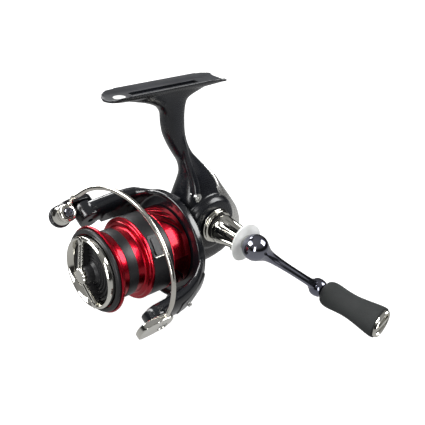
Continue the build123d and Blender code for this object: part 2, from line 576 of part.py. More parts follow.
# ---- drag knob --------------------------------------------------------------
def drag_knob():
    base = turned_y([(2.2, -35.9), (16.9, -35.9), (16.9, -38.6), (15.4, -38.6), (15.0, -37.4),
                     (12.6, -37.4), (12.2, -37.8), (11.4, -37.8), (11.0, -37.4), (9.8, -37.4),
                     (9.4, -37.9), (8.6, -37.9), (8.2, -37.4), (7.2, -37.4), (6.8, -38.0),
                     (5.4, -38.0), (4.6, -38.6), (4.2, -41.6), (2.2, -41.6)])
    plug = turned_y([(4.2, -35.9), (8.0, -35.9), (8.0, -31.2), (4.6, -31.2), (4.2, -31.2)])
    knob = base + plug
    pocket = extrude(Plane(origin=(0, -30.0, SPOOL_Z), z_dir=(0, -1, 0)) * RegularPolygon(4.6, 6),
                     7.5)
    fin_points = [(-15.2, -38.4), (-14.6, -39.4), (-3.4, -42.6), (3.4, -42.6), (14.6, -39.4),
                  (15.2, -38.4), (14.0, -37.2), (-14.0, -37.2)]
    fin = bar_slab(fin_points, 1.5)
    knob += fin - rod((0, -60, SPOOL_Z), (0, 1, 0), 4.2, 60) - rod((0, -36, SPOOL_Z),
                                                                   (0, 1, 0), 6, 10)
    knob -= tube((0, -45, SPOOL_Z), (0, 1, 0), 20, 15.0, 6.4)
    knob -= pocket
    save("drag_knob", knob)
    trim = turned_y([(15.0, -39.6), (15.9, -39.9), (16.9, -39.3), (16.9, -38.6), (15.4, -38.6),
                     (15.0, -38.6)])
    cap = turned_y([(0, -44.0), (3.0, -44.0), (3.6, -43.4), (3.6, -42.6), (0, -42.6)])
    for angle in spread(12):
        notch = rod((3.8, -45, SPOOL_Z), (0, 1, 0), 0.45, 2.4)
        cap -= round_spool(notch, angle)
    strip_points = [(-15.4, -38.8), (-14.8, -39.9), (-3.4, -43.2), (3.4, -43.2), (14.8, -39.9),
                    (15.4, -38.8), (14.6, -39.4), (3.4, -42.6), (-3.4, -42.6), (-14.6, -39.4)]
    strip = bar_slab(strip_points, 1.5)
    save("drag_knob_trim", (trim + cap + strip) - knob)
    nut = extrude(Plane(origin=(0, -32.6, SPOOL_Z), z_dir=(0, -1, 0)) * RegularPolygon(4.25, 6),
                  3.0)
    save("drag_nut", nut - rod((0, -40, SPOOL_Z), (0, 1, 0), MAIN_SHAFT_R + RUNNING_GAP, 8))
    coils = []
    for y in (-31.1, -29.9):
        centre = (0, y, SPOOL_Z)
        ring = (Plane(origin=centre, z_dir=(0, 1, 0)) * Circle(3.0)).edges()[0]
        coils.append(sweep(Plane(origin=ring @ 0, z_dir=ring % 0) * Circle(0.4), path=ring))
    save("drag_spring", *coils)


def bar_slab(points, half_width):
    """Slab across the drag knob from (radius, y) points, along the bar's direction."""
    plane = Plane(origin=(0, 0, SPOOL_Z), x_dir=(1, 0, 0), z_dir=(0, 0, 1))
    slab = extrude(plane * make_face(Polyline(points, close=True)), half_width, both=True)
    return round_spool(slab, KNOB_BAR_ANGLE)


# ---- handle -----------------------------------------------------------------
def handle():
    ring = turned_x([(13.2, 3.0), (13.2, 8.0), (13.8, 8.4), (14.2, 8.0), (14.5, 7.4),
                     (14.8, 8.0), (15.3, 8.2), (15.7, 7.6), (15.8, 7.0), (15.8, 3.0)])
    save("shaft_collar", ring)
    seal = (Plane(origin=(16.5, DRIVE_Y, DRIVE_Z), z_dir=(1, 0, 0)) * Circle(5.9)).edges()[0]
    save("collar_seal", sweep(Plane(origin=seal @ 0, z_dir=seal % 0) * Circle(0.7), path=seal))
    sleeve = turned_x([(17.3, 2.8), (17.3, 6.6), (18.0, 7.0), (19.4, 7.0), (20.0, 6.6),
                       (30.4, 5.2), (31.0, 4.8), (31.0, 2.8)])
    flute = rod((19.2, DRIVE_Y, DRIVE_Z + 8.3), (1, 0, -0.1), 1.9, 14)
    axis = Axis((0, DRIVE_Y, DRIVE_Z), (1, 0, 0))
    for angle in spread(10):
        sleeve -= flute.rotate(axis, angle)
    sleeve -= rod((16, DRIVE_Y, DRIVE_Z), (1, 0, 0), 2.8, 16)
    save("handle_sleeve", sleeve)
    shaft = turned_x([(13.5, 0), (13.5, 3.0), (17.0, 3.0), (17.0, 2.8), (31.0, 2.8),
                      (31.0, 3.5), (35.2, 3.5), (35.2, 0)])
    save("handle_shaft", shaft)
    disc = turned_x([(31.5, 3.5), (31.5, 9.0), (31.8, 9.2), (32.2, 9.0), (32.2, 3.5)])
    save("packing_disc", disc)

    ball_centre = Vector(BALL_X, DRIVE_Y, DRIVE_Z)
    tip = Vector(54.0, KNOB_Y, KNOB_Z)
    reach = (tip - ball_centre)
    length = reach.length
    direction = reach.normalized()
    arm = Sphere(BALL_R).moved(Location(ball_centre))
    sections = []
    for share, radius_a, radius_b in ((0.05, 4.6, 4.6), (0.2, 3.3, 3.5), (0.45, 2.3, 2.9),
                                      (0.75, 2.2, 3.0), (1.0, 2.6, 3.4)):
        place = Plane(origin=ball_centre + direction * (share * length),
                      x_dir=Vector(1, 0, 0), z_dir=direction)
        sections.append(place * Ellipse(radius_a, radius_b))
    arm += loft(sections)
    arm += rod((50.6, KNOB_Y, KNOB_Z), (1, 0, 0), 3.9, 6.8)
    arm -= rod((33, DRIVE_Y, DRIVE_Z), (1, 0, 0), 3.5, 2.2)
    arm -= rod((50, KNOB_Y, KNOB_Z), (1, 0, 0), 1.6, 9)
    save("handle_arm", arm)

    pin = rod((50.0, KNOB_Y, KNOB_Z), (1, 0, 0), 1.6, 35.0)
    pin += rod((49.2, KNOB_Y, KNOB_Z), (1, 0, 0), 2.8, 1.4)
    save("knob_pin", pin)
    bushes = [tube((x, KNOB_Y, KNOB_Z), (1, 0, 0), 2.8, 1.6 + RUNNING_GAP, 3.0)
              for x in (58.6, 81.0)]
    save("knob_bushes", *bushes)
    grip_sections = ((58.0, 4.2, 3.9), (60.0, 4.9, 4.3), (66.0, 4.6, 4.1), (73.0, 5.1, 4.2),
                     (80.0, 6.2, 4.5), (86.0, 7.1, 4.7), (89.4, 7.2, 4.6))
    sections = []
    for x, broad, thin in grip_sections:
        place = Plane(origin=(x, KNOB_Y, KNOB_Z), x_dir=(0, 0, 1), z_dir=(1, 0, 0))
        sections.append(place * Ellipse(broad, thin))
    grip = loft(sections)
    axis = Axis((0, KNOB_Y, KNOB_Z), (1, 0, 0))
    grip = grip.rotate(axis, KNOB_TILT)
    grip -= rod((57, KNOB_Y, KNOB_Z), (1, 0, 0), 2.8, 29.0)
    grip -= rod((84, KNOB_Y, KNOB_Z), (1, 0, 0), 3.6, 8.0)
    save("knob_grip", grip)
    faces = []
    for x, broad, thin in ((89.5, 6.3, 4.0), (90.6, 6.1, 3.8), (91.2, 5.2, 3.0)):
        place = Plane(origin=(x, KNOB_Y, KNOB_Z), x_dir=(0, 0, 1), z_dir=(1, 0, 0))
        faces.append(place * Ellipse(broad, thin))
    cap = loft(faces, ruled=True).rotate(axis, KNOB_TILT)
    cap += rod((86.2, KNOB_Y, KNOB_Z), (1, 0, 0), 3.5, 3.4)
    cap -= Box(1.2, 3.2, 1.3).moved(Location((91.2, KNOB_Y, KNOB_Z))).rotate(axis, KNOB_TILT)
    save("knob_cap", cap)


body()
clutch()
drive()
pinion()
spool_shaft()
rotor()
bail()
spool()
drag_knob()
handle()
for name, volume in made:
    print(f"{name:26s} {volume:9.1f} mm3")
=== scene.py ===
import bpy
import bmesh
import json
import math
from mathutils import Matrix, Vector


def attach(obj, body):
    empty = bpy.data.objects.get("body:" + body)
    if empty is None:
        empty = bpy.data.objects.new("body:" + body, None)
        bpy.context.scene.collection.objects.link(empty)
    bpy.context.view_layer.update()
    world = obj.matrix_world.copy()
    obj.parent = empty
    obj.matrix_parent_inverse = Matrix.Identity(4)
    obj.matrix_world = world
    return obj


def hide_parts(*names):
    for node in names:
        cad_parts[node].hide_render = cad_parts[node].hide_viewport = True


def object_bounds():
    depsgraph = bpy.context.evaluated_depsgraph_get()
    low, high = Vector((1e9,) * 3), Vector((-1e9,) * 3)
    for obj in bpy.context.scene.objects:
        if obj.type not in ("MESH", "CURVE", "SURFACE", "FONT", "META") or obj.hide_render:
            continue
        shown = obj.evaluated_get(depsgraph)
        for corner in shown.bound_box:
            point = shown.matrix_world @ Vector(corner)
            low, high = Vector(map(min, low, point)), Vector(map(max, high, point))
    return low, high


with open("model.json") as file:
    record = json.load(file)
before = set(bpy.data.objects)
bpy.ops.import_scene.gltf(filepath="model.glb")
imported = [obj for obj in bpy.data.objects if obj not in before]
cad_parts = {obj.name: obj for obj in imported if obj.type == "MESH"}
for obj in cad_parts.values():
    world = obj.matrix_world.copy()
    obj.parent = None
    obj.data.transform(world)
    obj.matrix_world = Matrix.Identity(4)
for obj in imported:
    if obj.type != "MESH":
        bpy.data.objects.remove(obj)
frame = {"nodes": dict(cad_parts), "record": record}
cad_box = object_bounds()
nodes = frame["nodes"]

MM = 0.001
SAME_POINT = 1e-6          # metres: closer points are one
SPOOL_Z = -78.5            # height of the spool axis, in millimetres
DRIVE_Y, DRIVE_Z = 24.4, -68.4
BAIL_TILT = math.radians(28.0)
ALONG_X, ALONG_Y, ALONG_Z = (1, 0, 0), (0, 1, 0), (0, 0, 1)


# ---- materials --------------------------------------------------------------
def new_material(name):
    material = bpy.data.materials.new(name)
    material.use_nodes = True
    shader = material.node_tree.nodes["Principled BSDF"]
    return material, material.node_tree, shader


def link(tree, out, into):
    tree.links.new(out, into)


def noise_of(tree, scale, detail=3.0, stretch=(1, 1, 1)):
    """Noise in object space, in cycles per metre, stretched along an axis if asked."""
    place = tree.nodes.new("ShaderNodeTexCoord")
    mapping = tree.nodes.new("ShaderNodeMapping")
    mapping.inputs["Scale"].default_value = stretch
    noise = tree.nodes.new("ShaderNodeTexNoise")
    noise.inputs["Scale"].default_value = scale
    noise.inputs["Detail"].default_value = detail
    link(tree, place.outputs["Object"], mapping.inputs["Vector"])
    link(tree, mapping.outputs["Vector"], noise.inputs["Vector"])
    return noise


def ramp_of(tree, source, low, high, start=0.35, end=0.65):
    ramp = tree.nodes.new("ShaderNodeValToRGB")
    ramp.color_ramp.elements[0].position = start
    ramp.color_ramp.elements[1].position = end
    ramp.color_ramp.elements[0].color = (*low, 1) if len(low) == 3 else low
    ramp.color_ramp.elements[1].color = (*high, 1) if len(high) == 3 else high
    link(tree, source, ramp.inputs["Fac"])
    return ramp


def range_of(tree, source, low, high):
    spread = tree.nodes.new("ShaderNodeMapRange")
    spread.inputs["From Min"].default_value = 0.3
    spread.inputs["From Max"].default_value = 0.7
    spread.inputs["To Min"].default_value = low
    spread.inputs["To Max"].default_value = high
    link(tree, source, spread.inputs["Value"])
    return spread.outputs["Result"]


def bump_of(tree, shader, source, strength, distance):
    bump = tree.nodes.new("ShaderNodeBump")
    bump.inputs["Strength"].default_value = strength
    bump.inputs["Distance"].default_value = distance
    link(tree, source, bump.inputs["Height"])
    link(tree, bump.outputs["Normal"], shader.inputs["Normal"])


def surface(name, dark, light, rough, metal=0.0, grain=900.0, bump=0.15, depth=0.00002,
            stretch=(1, 1, 1), coat=0.0, specular=0.5):
    """Surface whose colour and roughness drift a little, with a fine grain in relief."""
    material, tree, shader = new_material(name)
    drift = noise_of(tree, 60.0, 4.0)
    fine = noise_of(tree, grain, 5.0, stretch)
    ramp = ramp_of(tree, drift.outputs["Fac"], dark, light)
    link(tree, ramp.outputs["Color"], shader.inputs["Base Color"])
    link(tree, range_of(tree, fine.outputs["Fac"], rough[0], rough[1]),
         shader.inputs["Roughness"])
    shader.inputs["Metallic"].default_value = metal
    shader.inputs["Coat Weight"].default_value = coat
    shader.inputs["Coat Roughness"].default_value = 0.08
    shader.inputs["Specular IOR Level"].default_value = specular
    bump_of(tree, shader, fine.outputs["Fac"], bump, depth)
    return material


ROUND_Y = (1, 60, 1)       # grain that runs round the spool axis
LOOKS = {
    "body_black": surface("body_black", (0.003, 0.0035, 0.005), (0.006, 0.007, 0.010),
                          (0.22, 0.32), grain=2600, bump=0.12, coat=0.2, specular=0.4),
    "foot_black": surface("foot_black", (0.016, 0.017, 0.020), (0.026, 0.028, 0.032),
                          (0.44, 0.56), grain=3200, bump=0.2),
    "rotor_black": surface("rotor_black", (0.003, 0.0035, 0.005), (0.006, 0.007, 0.009),
                           (0.18, 0.27), grain=2400, bump=0.1, coat=0.3),
    "chrome": surface("chrome", (0.60, 0.585, 0.53), (0.70, 0.69, 0.64), (0.05, 0.11), 1.0,
                      grain=500, bump=0.05),
    "satin_chrome": surface("satin_chrome", (0.66, 0.655, 0.63), (0.76, 0.755, 0.73),
                            (0.20, 0.34), 1.0, grain=900, stretch=(30, 1, 1)),
    "dark_chrome": surface("dark_chrome", (0.17, 0.175, 0.22), (0.24, 0.245, 0.29),
                           (0.07, 0.13), 1.0, grain=400, bump=0.04),
    "spool_red": surface("spool_red", (0.30, 0.003, 0.012), (0.43, 0.006, 0.020),
                         (0.25, 0.35), 1.0, grain=260, stretch=ROUND_Y, bump=0.2, coat=0.25),
    "black_band": surface("black_band", (0.006, 0.006, 0.007), (0.012, 0.012, 0.013),
                          (0.34, 0.46), grain=3000, bump=0.2, specular=0.35),
    "knob_rubber": surface("knob_rubber", (0.012, 0.0135, 0.0135), (0.020, 0.022, 0.022),
                           (0.60, 0.80), grain=4200, bump=0.45, depth=0.00004, specular=0.3),
    "steel": surface("steel", (0.45, 0.45, 0.44), (0.60, 0.60, 0.58), (0.18, 0.30), 1.0,
                     grain=300, stretch=ROUND_Y),
    "brass": surface("brass", (0.55, 0.38, 0.13), (0.68, 0.50, 0.20), (0.20, 0.32), 1.0,
                     grain=300, stretch=ROUND_Y),
    "gear_alloy": surface("gear_alloy", (0.34, 0.34, 0.33), (0.46, 0.46, 0.45), (0.35, 0.5),
                          1.0, grain=1500, bump=0.3),
    "felt": surface("felt", (0.42, 0.37, 0.29), (0.58, 0.52, 0.43), (0.85, 0.98), grain=5000,
                    bump=0.7, depth=0.0001),
    "seal_rubber": surface("seal_rubber", (0.002, 0.002, 0.0025), (0.005, 0.005, 0.006),
                           (0.50, 0.62), grain=3500, bump=0.25, specular=0.2),
    "wire": surface("wire", (0.60, 0.575, 0.52), (0.72, 0.70, 0.65), (0.12, 0.2), 1.0,
                    grain=700, bump=0.08),
    "inner_plastic": surface("inner_plastic", (0.04, 0.04, 0.045), (0.07, 0.07, 0.075),
                             (0.42, 0.55), grain=2500, bump=0.2),
}


def white_disc():
    material, tree, shader = new_material("white_plastic")
    cloud = noise_of(tree, 180.0, 4.0)
    ramp = ramp_of(tree, cloud.outputs["Fac"], (0.80, 0.81, 0.79), (0.93, 0.94, 0.93))
    link(tree, ramp.outputs["Color"], shader.inputs["Base Color"])
    link(tree, range_of(tree, cloud.outputs["Fac"], 0.28, 0.42), shader.inputs["Roughness"])
    shader.inputs["Subsurface Weight"].default_value = 0.35
    shader.inputs["Subsurface Radius"].default_value = (0.002, 0.002, 0.002)
    shader.inputs["Transmission Weight"].default_value = 0.25
    fine = noise_of(tree, 1800.0)
    bump_of(tree, shader, fine.outputs["Fac"], 0.1, 0.00002)
    return material


LOOKS["white_plastic"] = white_disc()


# ---- mesh helpers (lengths in millimetres) ----------------------------------
def on_rotor(point):
    """A point drawn about the Y axis with the arms along X, placed on the rotor."""
    x, y, z = point
    cos, sin = math.cos(BAIL_TILT), math.sin(BAIL_TILT)
    return (x * cos + z * sin, y, -x * sin + z * cos + SPOOL_Z)


def clean_mesh(name, verts, faces):
    """Mesh in metres from points in millimetres, joined up and facing outwards."""
    mesh = bpy.data.meshes.new(name)
    mesh.from_pydata([tuple(MM * c for c in v) for v in verts], [], faces)
    tidy = bmesh.new()
    tidy.from_mesh(mesh)
    bmesh.ops.remove_doubles(tidy, verts=tidy.verts, dist=SAME_POINT)
    bmesh.ops.recalc_face_normals(tidy, faces=tidy.faces)
    tidy.to_mesh(mesh)
    tidy.free()
    return mesh


def piece(name, verts, faces, look, body, stands_for=(), crease=32.0, bevel=0.0):
    """One finished piece that rides a body and may stand for CAD nodes."""
    mesh = clean_mesh(name, verts, faces)
    mesh.shade_smooth()
    mesh.set_sharp_from_angle(angle=math.radians(crease))
    made = bpy.data.objects.new(name, mesh)
    bpy.context.scene.collection.objects.link(made)
    mesh.materials.append(LOOKS[look])
    if bevel:
        edge = made.modifiers.new("edges", "BEVEL")
        edge.width = bevel * MM
        edge.segments = 2
        edge.limit_method = "ANGLE"
        edge.angle_limit = math.radians(crease)
        edge.harden_normals = True
    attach(made, body)
    if stands_for:
        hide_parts(*stands_for)
    return made


# ---- CAD nodes that stay: only their finish changes -------------------------
def dress(node, look):
    made = nodes[node]
    made.data.materials.clear()
    made.data.materials.append(LOOKS[look])
    made.data.set_sharp_from_angle(angle=math.radians(28.0))


for row in frame["record"]["subparts"]:
    dress(row["node"], row["material_slot"])


# ---- shapes -----------------------------------------------------------------
def around(count):
    """Angles evenly spaced round a full turn."""
    return [2 * math.pi * i / count for i in range(count)]


def signed_power(value, power):
    """Power of a sine or cosine that keeps its sign: below 1 squares a ring's corners."""
    return math.copysign(abs(value) ** power, value)


def between(a, b, c, d, t):
    """Catmull-Rom value at share t of the way from b to c."""
    return 0.5 * (2 * b + (c - a) * t + (2 * a - 5 * b + 4 * c - d) * t * t
                  + (3 * b - a - 3 * c + d) * t * t * t)


def share_past(value, start, length):
    """Share from 0 to 1 as value runs over length from start."""
    return min(1.0, max(0.0, (value - start) / length))


def about_spool(radius, along, angle):
    return (radius * math.cos(angle), along, radius * math.sin(angle) + SPOOL_Z)


def about_drive(radius, along, angle):
    return (along, DRIVE_Y + radius * math.cos(angle), DRIVE_Z + radius * math.sin(angle))


def spun(profile, place, turns=128, shape=None):
    """Turn a closed (radius, along) outline; shape may change a radius by angle and along."""
    verts, faces = [], []
    count = len(profile)
    for angle in around(turns):
        for radius, along in profile:
            if shape:
                radius = shape(radius, along, angle)
            verts.append(place(radius, along, angle))
    for i in range(turns):
        a, b = i * count, ((i + 1) % turns) * count
        for j in range(count):
            k = (j + 1) % count
            faces.append((a + j, a + k, b + k, b + j))
    return verts, faces


def rounded(points, size, steps=3):
    """Closed outline with each corner cut back by size along a small arc."""
    out = []
    count = len(points)
    for i, point in enumerate(points):
        here = Vector(point)
        before = Vector(points[i - 1]) - here
        after = Vector(points[(i + 1) % count]) - here
        reach = min(size, before.length * 0.45, after.length * 0.45)
        if reach < 0.02:
            out.append(tuple(here))
            continue
        start = here + before.normalized() * reach
        end = here + after.normalized() * reach
        for j in range(steps + 1):
            t = j / steps
            mid = start.lerp(here, t).lerp(here.lerp(end, t), t)
            out.append(tuple(mid))
    return out


def skinned(rings):
    """Faces over rings of points with equal counts, closed at both ends."""
    verts, faces = [], []
    count = len(rings[0])
    for ring in rings:
        verts.extend(ring)
    for i in range(len(rings) - 1):
        for j in range(count):
            k = (j + 1) % count
            faces.append((i * count + j, i * count + k, (i + 1) * count + k, (i + 1) * count + j))
    faces.append(tuple(range(count))[::-1])
    last = (len(rings) - 1) * count
    faces.append(tuple(range(last, last + count)))
    return verts, faces


def joined(*parts):
    verts, faces = [], []
    for part_verts, part_faces in parts:
        shift = len(verts)
        verts.extend(part_verts)
        faces.extend(tuple(i + shift for i in face) for face in part_faces)
    return verts, faces


def curve_points(points, steps=8):
    """Smooth line through the points (Catmull-Rom)."""
    line = [Vector(p) for p in points]
    line = [2 * line[0] - line[1]] + line + [2 * line[-1] - line[-2]]
    out = []
    for i in range(1, len(line) - 2):
        a, b, c, d = line[i - 1:i + 3]
        for j in range(steps):
            t = j / steps
            out.append(between(a, b, c, d, t))
    out.append(line[-2])
    return out


def bar_along(points, radius, sides=24):
    """Round bar along a line; radius is one number or one for each point."""
    rings = []
    side = None
    for i, point in enumerate(points):
        ahead = points[min(i + 1, len(points) - 1)] - points[max(i - 1, 0)]
        ahead.normalize()
        if side is None:
            side = ahead.orthogonal().normalized()
        side = (side - ahead * side.dot(ahead)).normalized()
        other = ahead.cross(side)
        size = radius if isinstance(radius, (int, float)) else radius[i]
        rings.append([tuple(point + size * (side * math.cos(angle) + other * math.sin(angle)))
                      for angle in around(sides)])
    return skinned(rings)


def slab(outline, across, up, depth_axis, low, high):
    """Flat plate: an outline in (across, up) from low to high along depth_axis."""
    across, up, depth_axis = Vector(across), Vector(up), Vector(depth_axis)
    rings = []
    for depth in (low, high):
        rings.append([tuple(across * u + up * v + depth_axis * depth) for u, v in outline])
    return skinned(rings)


def side_slab(outline, low, high):
    """Flat plate with its outline in (y, z), from low to high along X."""
    return slab(outline, ALONG_Y, ALONG_Z, ALONG_X, low, high)


def box_outline(low_u, low_v, high_u, high_v):
    return [(low_u, low_v), (high_u, low_v), (high_u, high_v), (low_u, high_v)]


CAST_CREASE = 35.0         # degrees between faces that still read as an edge


def melted(name, parts, look, body, stands_for, voxel, smooth, cutters=()):
    """Several closed shapes run into one casting, with soft blends where they meet."""
    made = piece(name, *joined(*parts), look, body, stands_for, crease=180.0)
    remesh = made.modifiers.new("melt", "REMESH")
    remesh.mode = "VOXEL"
    remesh.voxel_size = voxel * MM
    remesh.use_smooth_shade = True
    ease = made.modifiers.new("ease", "SMOOTH")
    ease.factor = 0.5
    ease.iterations = smooth
    settle(made)
    for verts, faces in cutters:
        cut(made, verts, faces)
    return made


def settle(made):
    """Turn the piece's modifiers into its mesh."""
    graph = bpy.context.evaluated_depsgraph_get()
    final = bpy.data.meshes.new_from_object(made.evaluated_get(graph))
    look = made.data.materials[0]
    made.modifiers.clear()
    made.data = final
    if not final.materials:
        final.materials.append(look)
    final.shade_smooth()
    final.set_sharp_from_angle(angle=math.radians(CAST_CREASE))


def cut(made, verts, faces, operation="DIFFERENCE"):
    """Cut a closed shape out of the piece, or keep only what is inside it."""
    mesh = clean_mesh("cutter", verts, faces)
    tool = bpy.data.objects.new("cutter", mesh)
    bpy.context.scene.collection.objects.link(tool)
    change = made.modifiers.new("cut", "BOOLEAN")
    change.operation = operation
    change.solver = "EXACT"
    change.object = tool
    settle(made)
    bpy.data.objects.remove(tool)


def oval(y, z, half_x, half_y, power=2.0, count=64):
    """Level ring round (0, y, z); a higher power is squarer."""
    return [(half_x * signed_power(math.cos(angle), 2 / power),
             y + half_y * signed_power(math.sin(angle), 2 / power), z)
            for angle in around(count)]


# ---- body -------------------------------------------------------------------
STEM_SECTIONS = [          # height, middle along Y, half width, half length, squareness
    (-1.2, 0.8, 5.4, 27.0, 2.0), (-3.2, 1.4, 4.9, 20.0, 2.0), (-4.8, 2.0, 4.7, 14.0, 2.0),
    (-6.3, 2.6, 4.6, 10.2, 2.1), (-7.8, 3.6, 4.6, 8.1, 2.2), (-9.6, 4.3, 4.6, 6.8, 2.3),
    (-12.0, 4.9, 4.6, 5.9, 2.3), (-16.5, 5.3, 4.6, 5.7, 2.3), (-22.0, 6.4, 4.6, 5.3, 2.3),
    (-27.5, 8.8, 4.6, 4.8, 2.3), (-32.5, 11.9, 4.6, 4.7, 2.3), (-37.5, 16.0, 5.0, 5.4, 2.2),
    (-43.0, 19.6, 6.0, 7.2, 2.2), (-48.0, 21.6, 7.4, 9.6, 2.4), (-53.0, 22.8, 8.8, 11.9, 2.6),
    (-60.0, 24.6, 10.2, 15.4, 2.8), (-68.0, 27.2, 10.8, 18.3, 3.0),
    (-76.0, 28.4, 10.9, 19.8, 3.0), (-83.0, 27.9, 10.4, 19.5, 2.8),
    (-88.5, 26.4, 9.0, 17.2, 2.6), (-92.2, 24.8, 6.4, 13.6, 2.2)]
CASE_FRONT = 8.7
CASE_TOP_Z = -55.0         # below this the case's front is flat
SHOULDER_Z = -50.0         # top of the side cover
CASE_WALL = 1.7
SPLIT_X, SPLIT_GAP = 3.62, 0.06
DRIVE_BORE_R, PINION_BORE_R = 3.3, 3.6
TRIM_LOW, TRIM_HIGH = -87.5, -41.0
FOOT_HALF_LENGTH, FOOT_HALF_WIDTH = 31.3, 6.4
CURL_START, CURL_RISE = 2.6, 1.9
SLOT_HALF_WIDTH, SLOT_HALF_LENGTH, SLOT_DEPTH = 1.5, 18.3, 1.5
WHITE_OVAL_X, WHITE_OVAL_Y = 1.4, -24.6
WHITE_OVAL_HALF_X, WHITE_OVAL_HALF_Y = 2.3, 2.7


def sections(low=None, high=None, steps=4):
    """Stem sections with smooth ones between, optionally only from height high to low."""
    rows = [STEM_SECTIONS[0]] + STEM_SECTIONS + [STEM_SECTIONS[-1]]
    out = []
    for i in range(1, len(rows) - 2):
        for j in range(steps):
            t = j / steps
            out.append(tuple(between(a, b, c, d, t) for a, b, c, d in zip(*rows[i - 1:i + 3])))
    out.append(STEM_SECTIONS[-1])
    if low is None:
        return out
    return [row for row in out if low <= row[0] <= high]


def body_parts():
    """Closed shapes that run into one casting: case with stem, two bosses and a ridge."""
    rings = [oval(y, z, half_x, half_y, power)
             for z, y, half_x, half_y, power in sections()]
    rings = [[(x, max(y, CASE_FRONT) if z < CASE_TOP_Z else y, z) for x, y, z in ring]
             for ring in rings]
    boss = spun([(0, 0), (15.6, 0), (14.6, 8.4), (13.6, 11.0), (12.2, 12.5), (10.4, 12.8),
                 (0, 12.8)], about_drive, 96)
    far_boss = spun([(0, 0), (11.5, 0), (10.6, -10.4), (9.2, -11.1), (0, -11.1)],
                    about_drive, 96)
    ridge = curve_points([(3.0, 7.6, -20), (4.6, 9.4, -28), (4.7, 11.2, -34),
                          (5.5, 13.2, -40), (7.2, 14.6, -46), (8.9, 14.6, -52)])
    sizes = [0.9 + 1.3 * i / (len(ridge) - 1) for i in range(len(ridge))]
    return skinned(rings), boss, far_boss, bar_along(ridge, sizes)


def rear_trim():
    """Bright band that lies on the rear edge of the case, widest at mid height."""
    rows = sections(TRIM_LOW, TRIM_HIGH, 6)
    steps = 28
    rings = []
    for i, (z, y, half_x, half_y, power) in enumerate(rows):
        share = i / (len(rows) - 1)
        reach = math.radians(16.0 + 54.0 * min(1.0, share * 2.6) ** 0.8 - 14.0 * share ** 3)
        proud = 0.95 * min(1.0, 8.0 * share + 0.25)
        outer, inner = [], []
        for j in range(steps + 1):
            t = 2 * j / steps - 1
            angle = math.pi / 2 - reach * t
            cos, sin = math.cos(angle), math.sin(angle)
            lift = proud * (1 - t ** 8) + 0.1
            wide = signed_power(cos, 2 / power)
            deep = abs(sin) ** (2 / power)
            outer.append(((half_x + lift) * wide, y + (half_y + lift) * deep, z))
            inner.append(((half_x - 0.9) * wide, y + (half_y - 0.9) * deep, z))
        rings.append(outer + inner[::-1])
    piece("rear_trim_bright", *skinned(rings), "satin_chrome", "reel_body",
          ("rear_cover",), 50.0)


def seat_rise(x):
    """Height of the foot's seat, whose edges curl up."""
    return CURL_RISE * max(0.0, (abs(x) - CURL_START) / (FOOT_HALF_WIDTH - CURL_START)) ** 2


def foot_white_oval():
    """Small thin plain white oval lying on the seat."""
    rings = []
    for share, lift in ((1.0, 0.0), (1.0, 0.12), (0.93, 0.17), (0.5, 0.18)):
        ring = []
        for angle in around(48):
            x = WHITE_OVAL_X + WHITE_OVAL_HALF_X * share * math.cos(angle)
            y = WHITE_OVAL_Y + WHITE_OVAL_HALF_Y * share * math.sin(angle)
            ring.append((x, y, seat_rise(x) + lift))
        rings.append(ring)
    white_oval = piece("foot_white_oval", *skinned(rings), "white_plastic", "reel_body", (), 60.0)


def foot_part():
    """Foot plate: a long trough with curled edges, round in front and cut off behind."""
    end, half = FOOT_HALF_LENGTH, FOOT_HALF_WIDTH
    stations = 60
    across = 24
    top, bottom = [], []
    for i in range(stations + 1):
        y = -end + 2 * end * i / stations
        front = max(0.0, (-y - (end - half)) / half)
        width = half * math.sqrt(max(1 - front * front, 0.015))
        rear = max(0.0, (y - (end - 5.0)) / 5.0)
        share = 1 - abs(y) / end
        lip = 0.6 + 1.2 * min(1.0, share * 3.2)
        keel = 1.3 + 0.9 * min(1.0, share * 2.4)
        top_row, low_row = [], []
        for j in range(across + 1):
            t = 2 * j / across - 1
            x = width * t
            if x < 0:
                x *= 1 - 0.10 * rear
            edge = max(0.0, (abs(t) - 0.35) / 0.65)
            z = min(lip, seat_rise(x))
            top_row.append((x, y, z))
            low_row.append((x, y, -keel + (z - 0.9 + keel) * edge ** 1.6))
        top.append(top_row)
        bottom.append(low_row)
    rings = [upper + lower[::-1] for upper, lower in zip(top, bottom)]
    return skinned(rings)


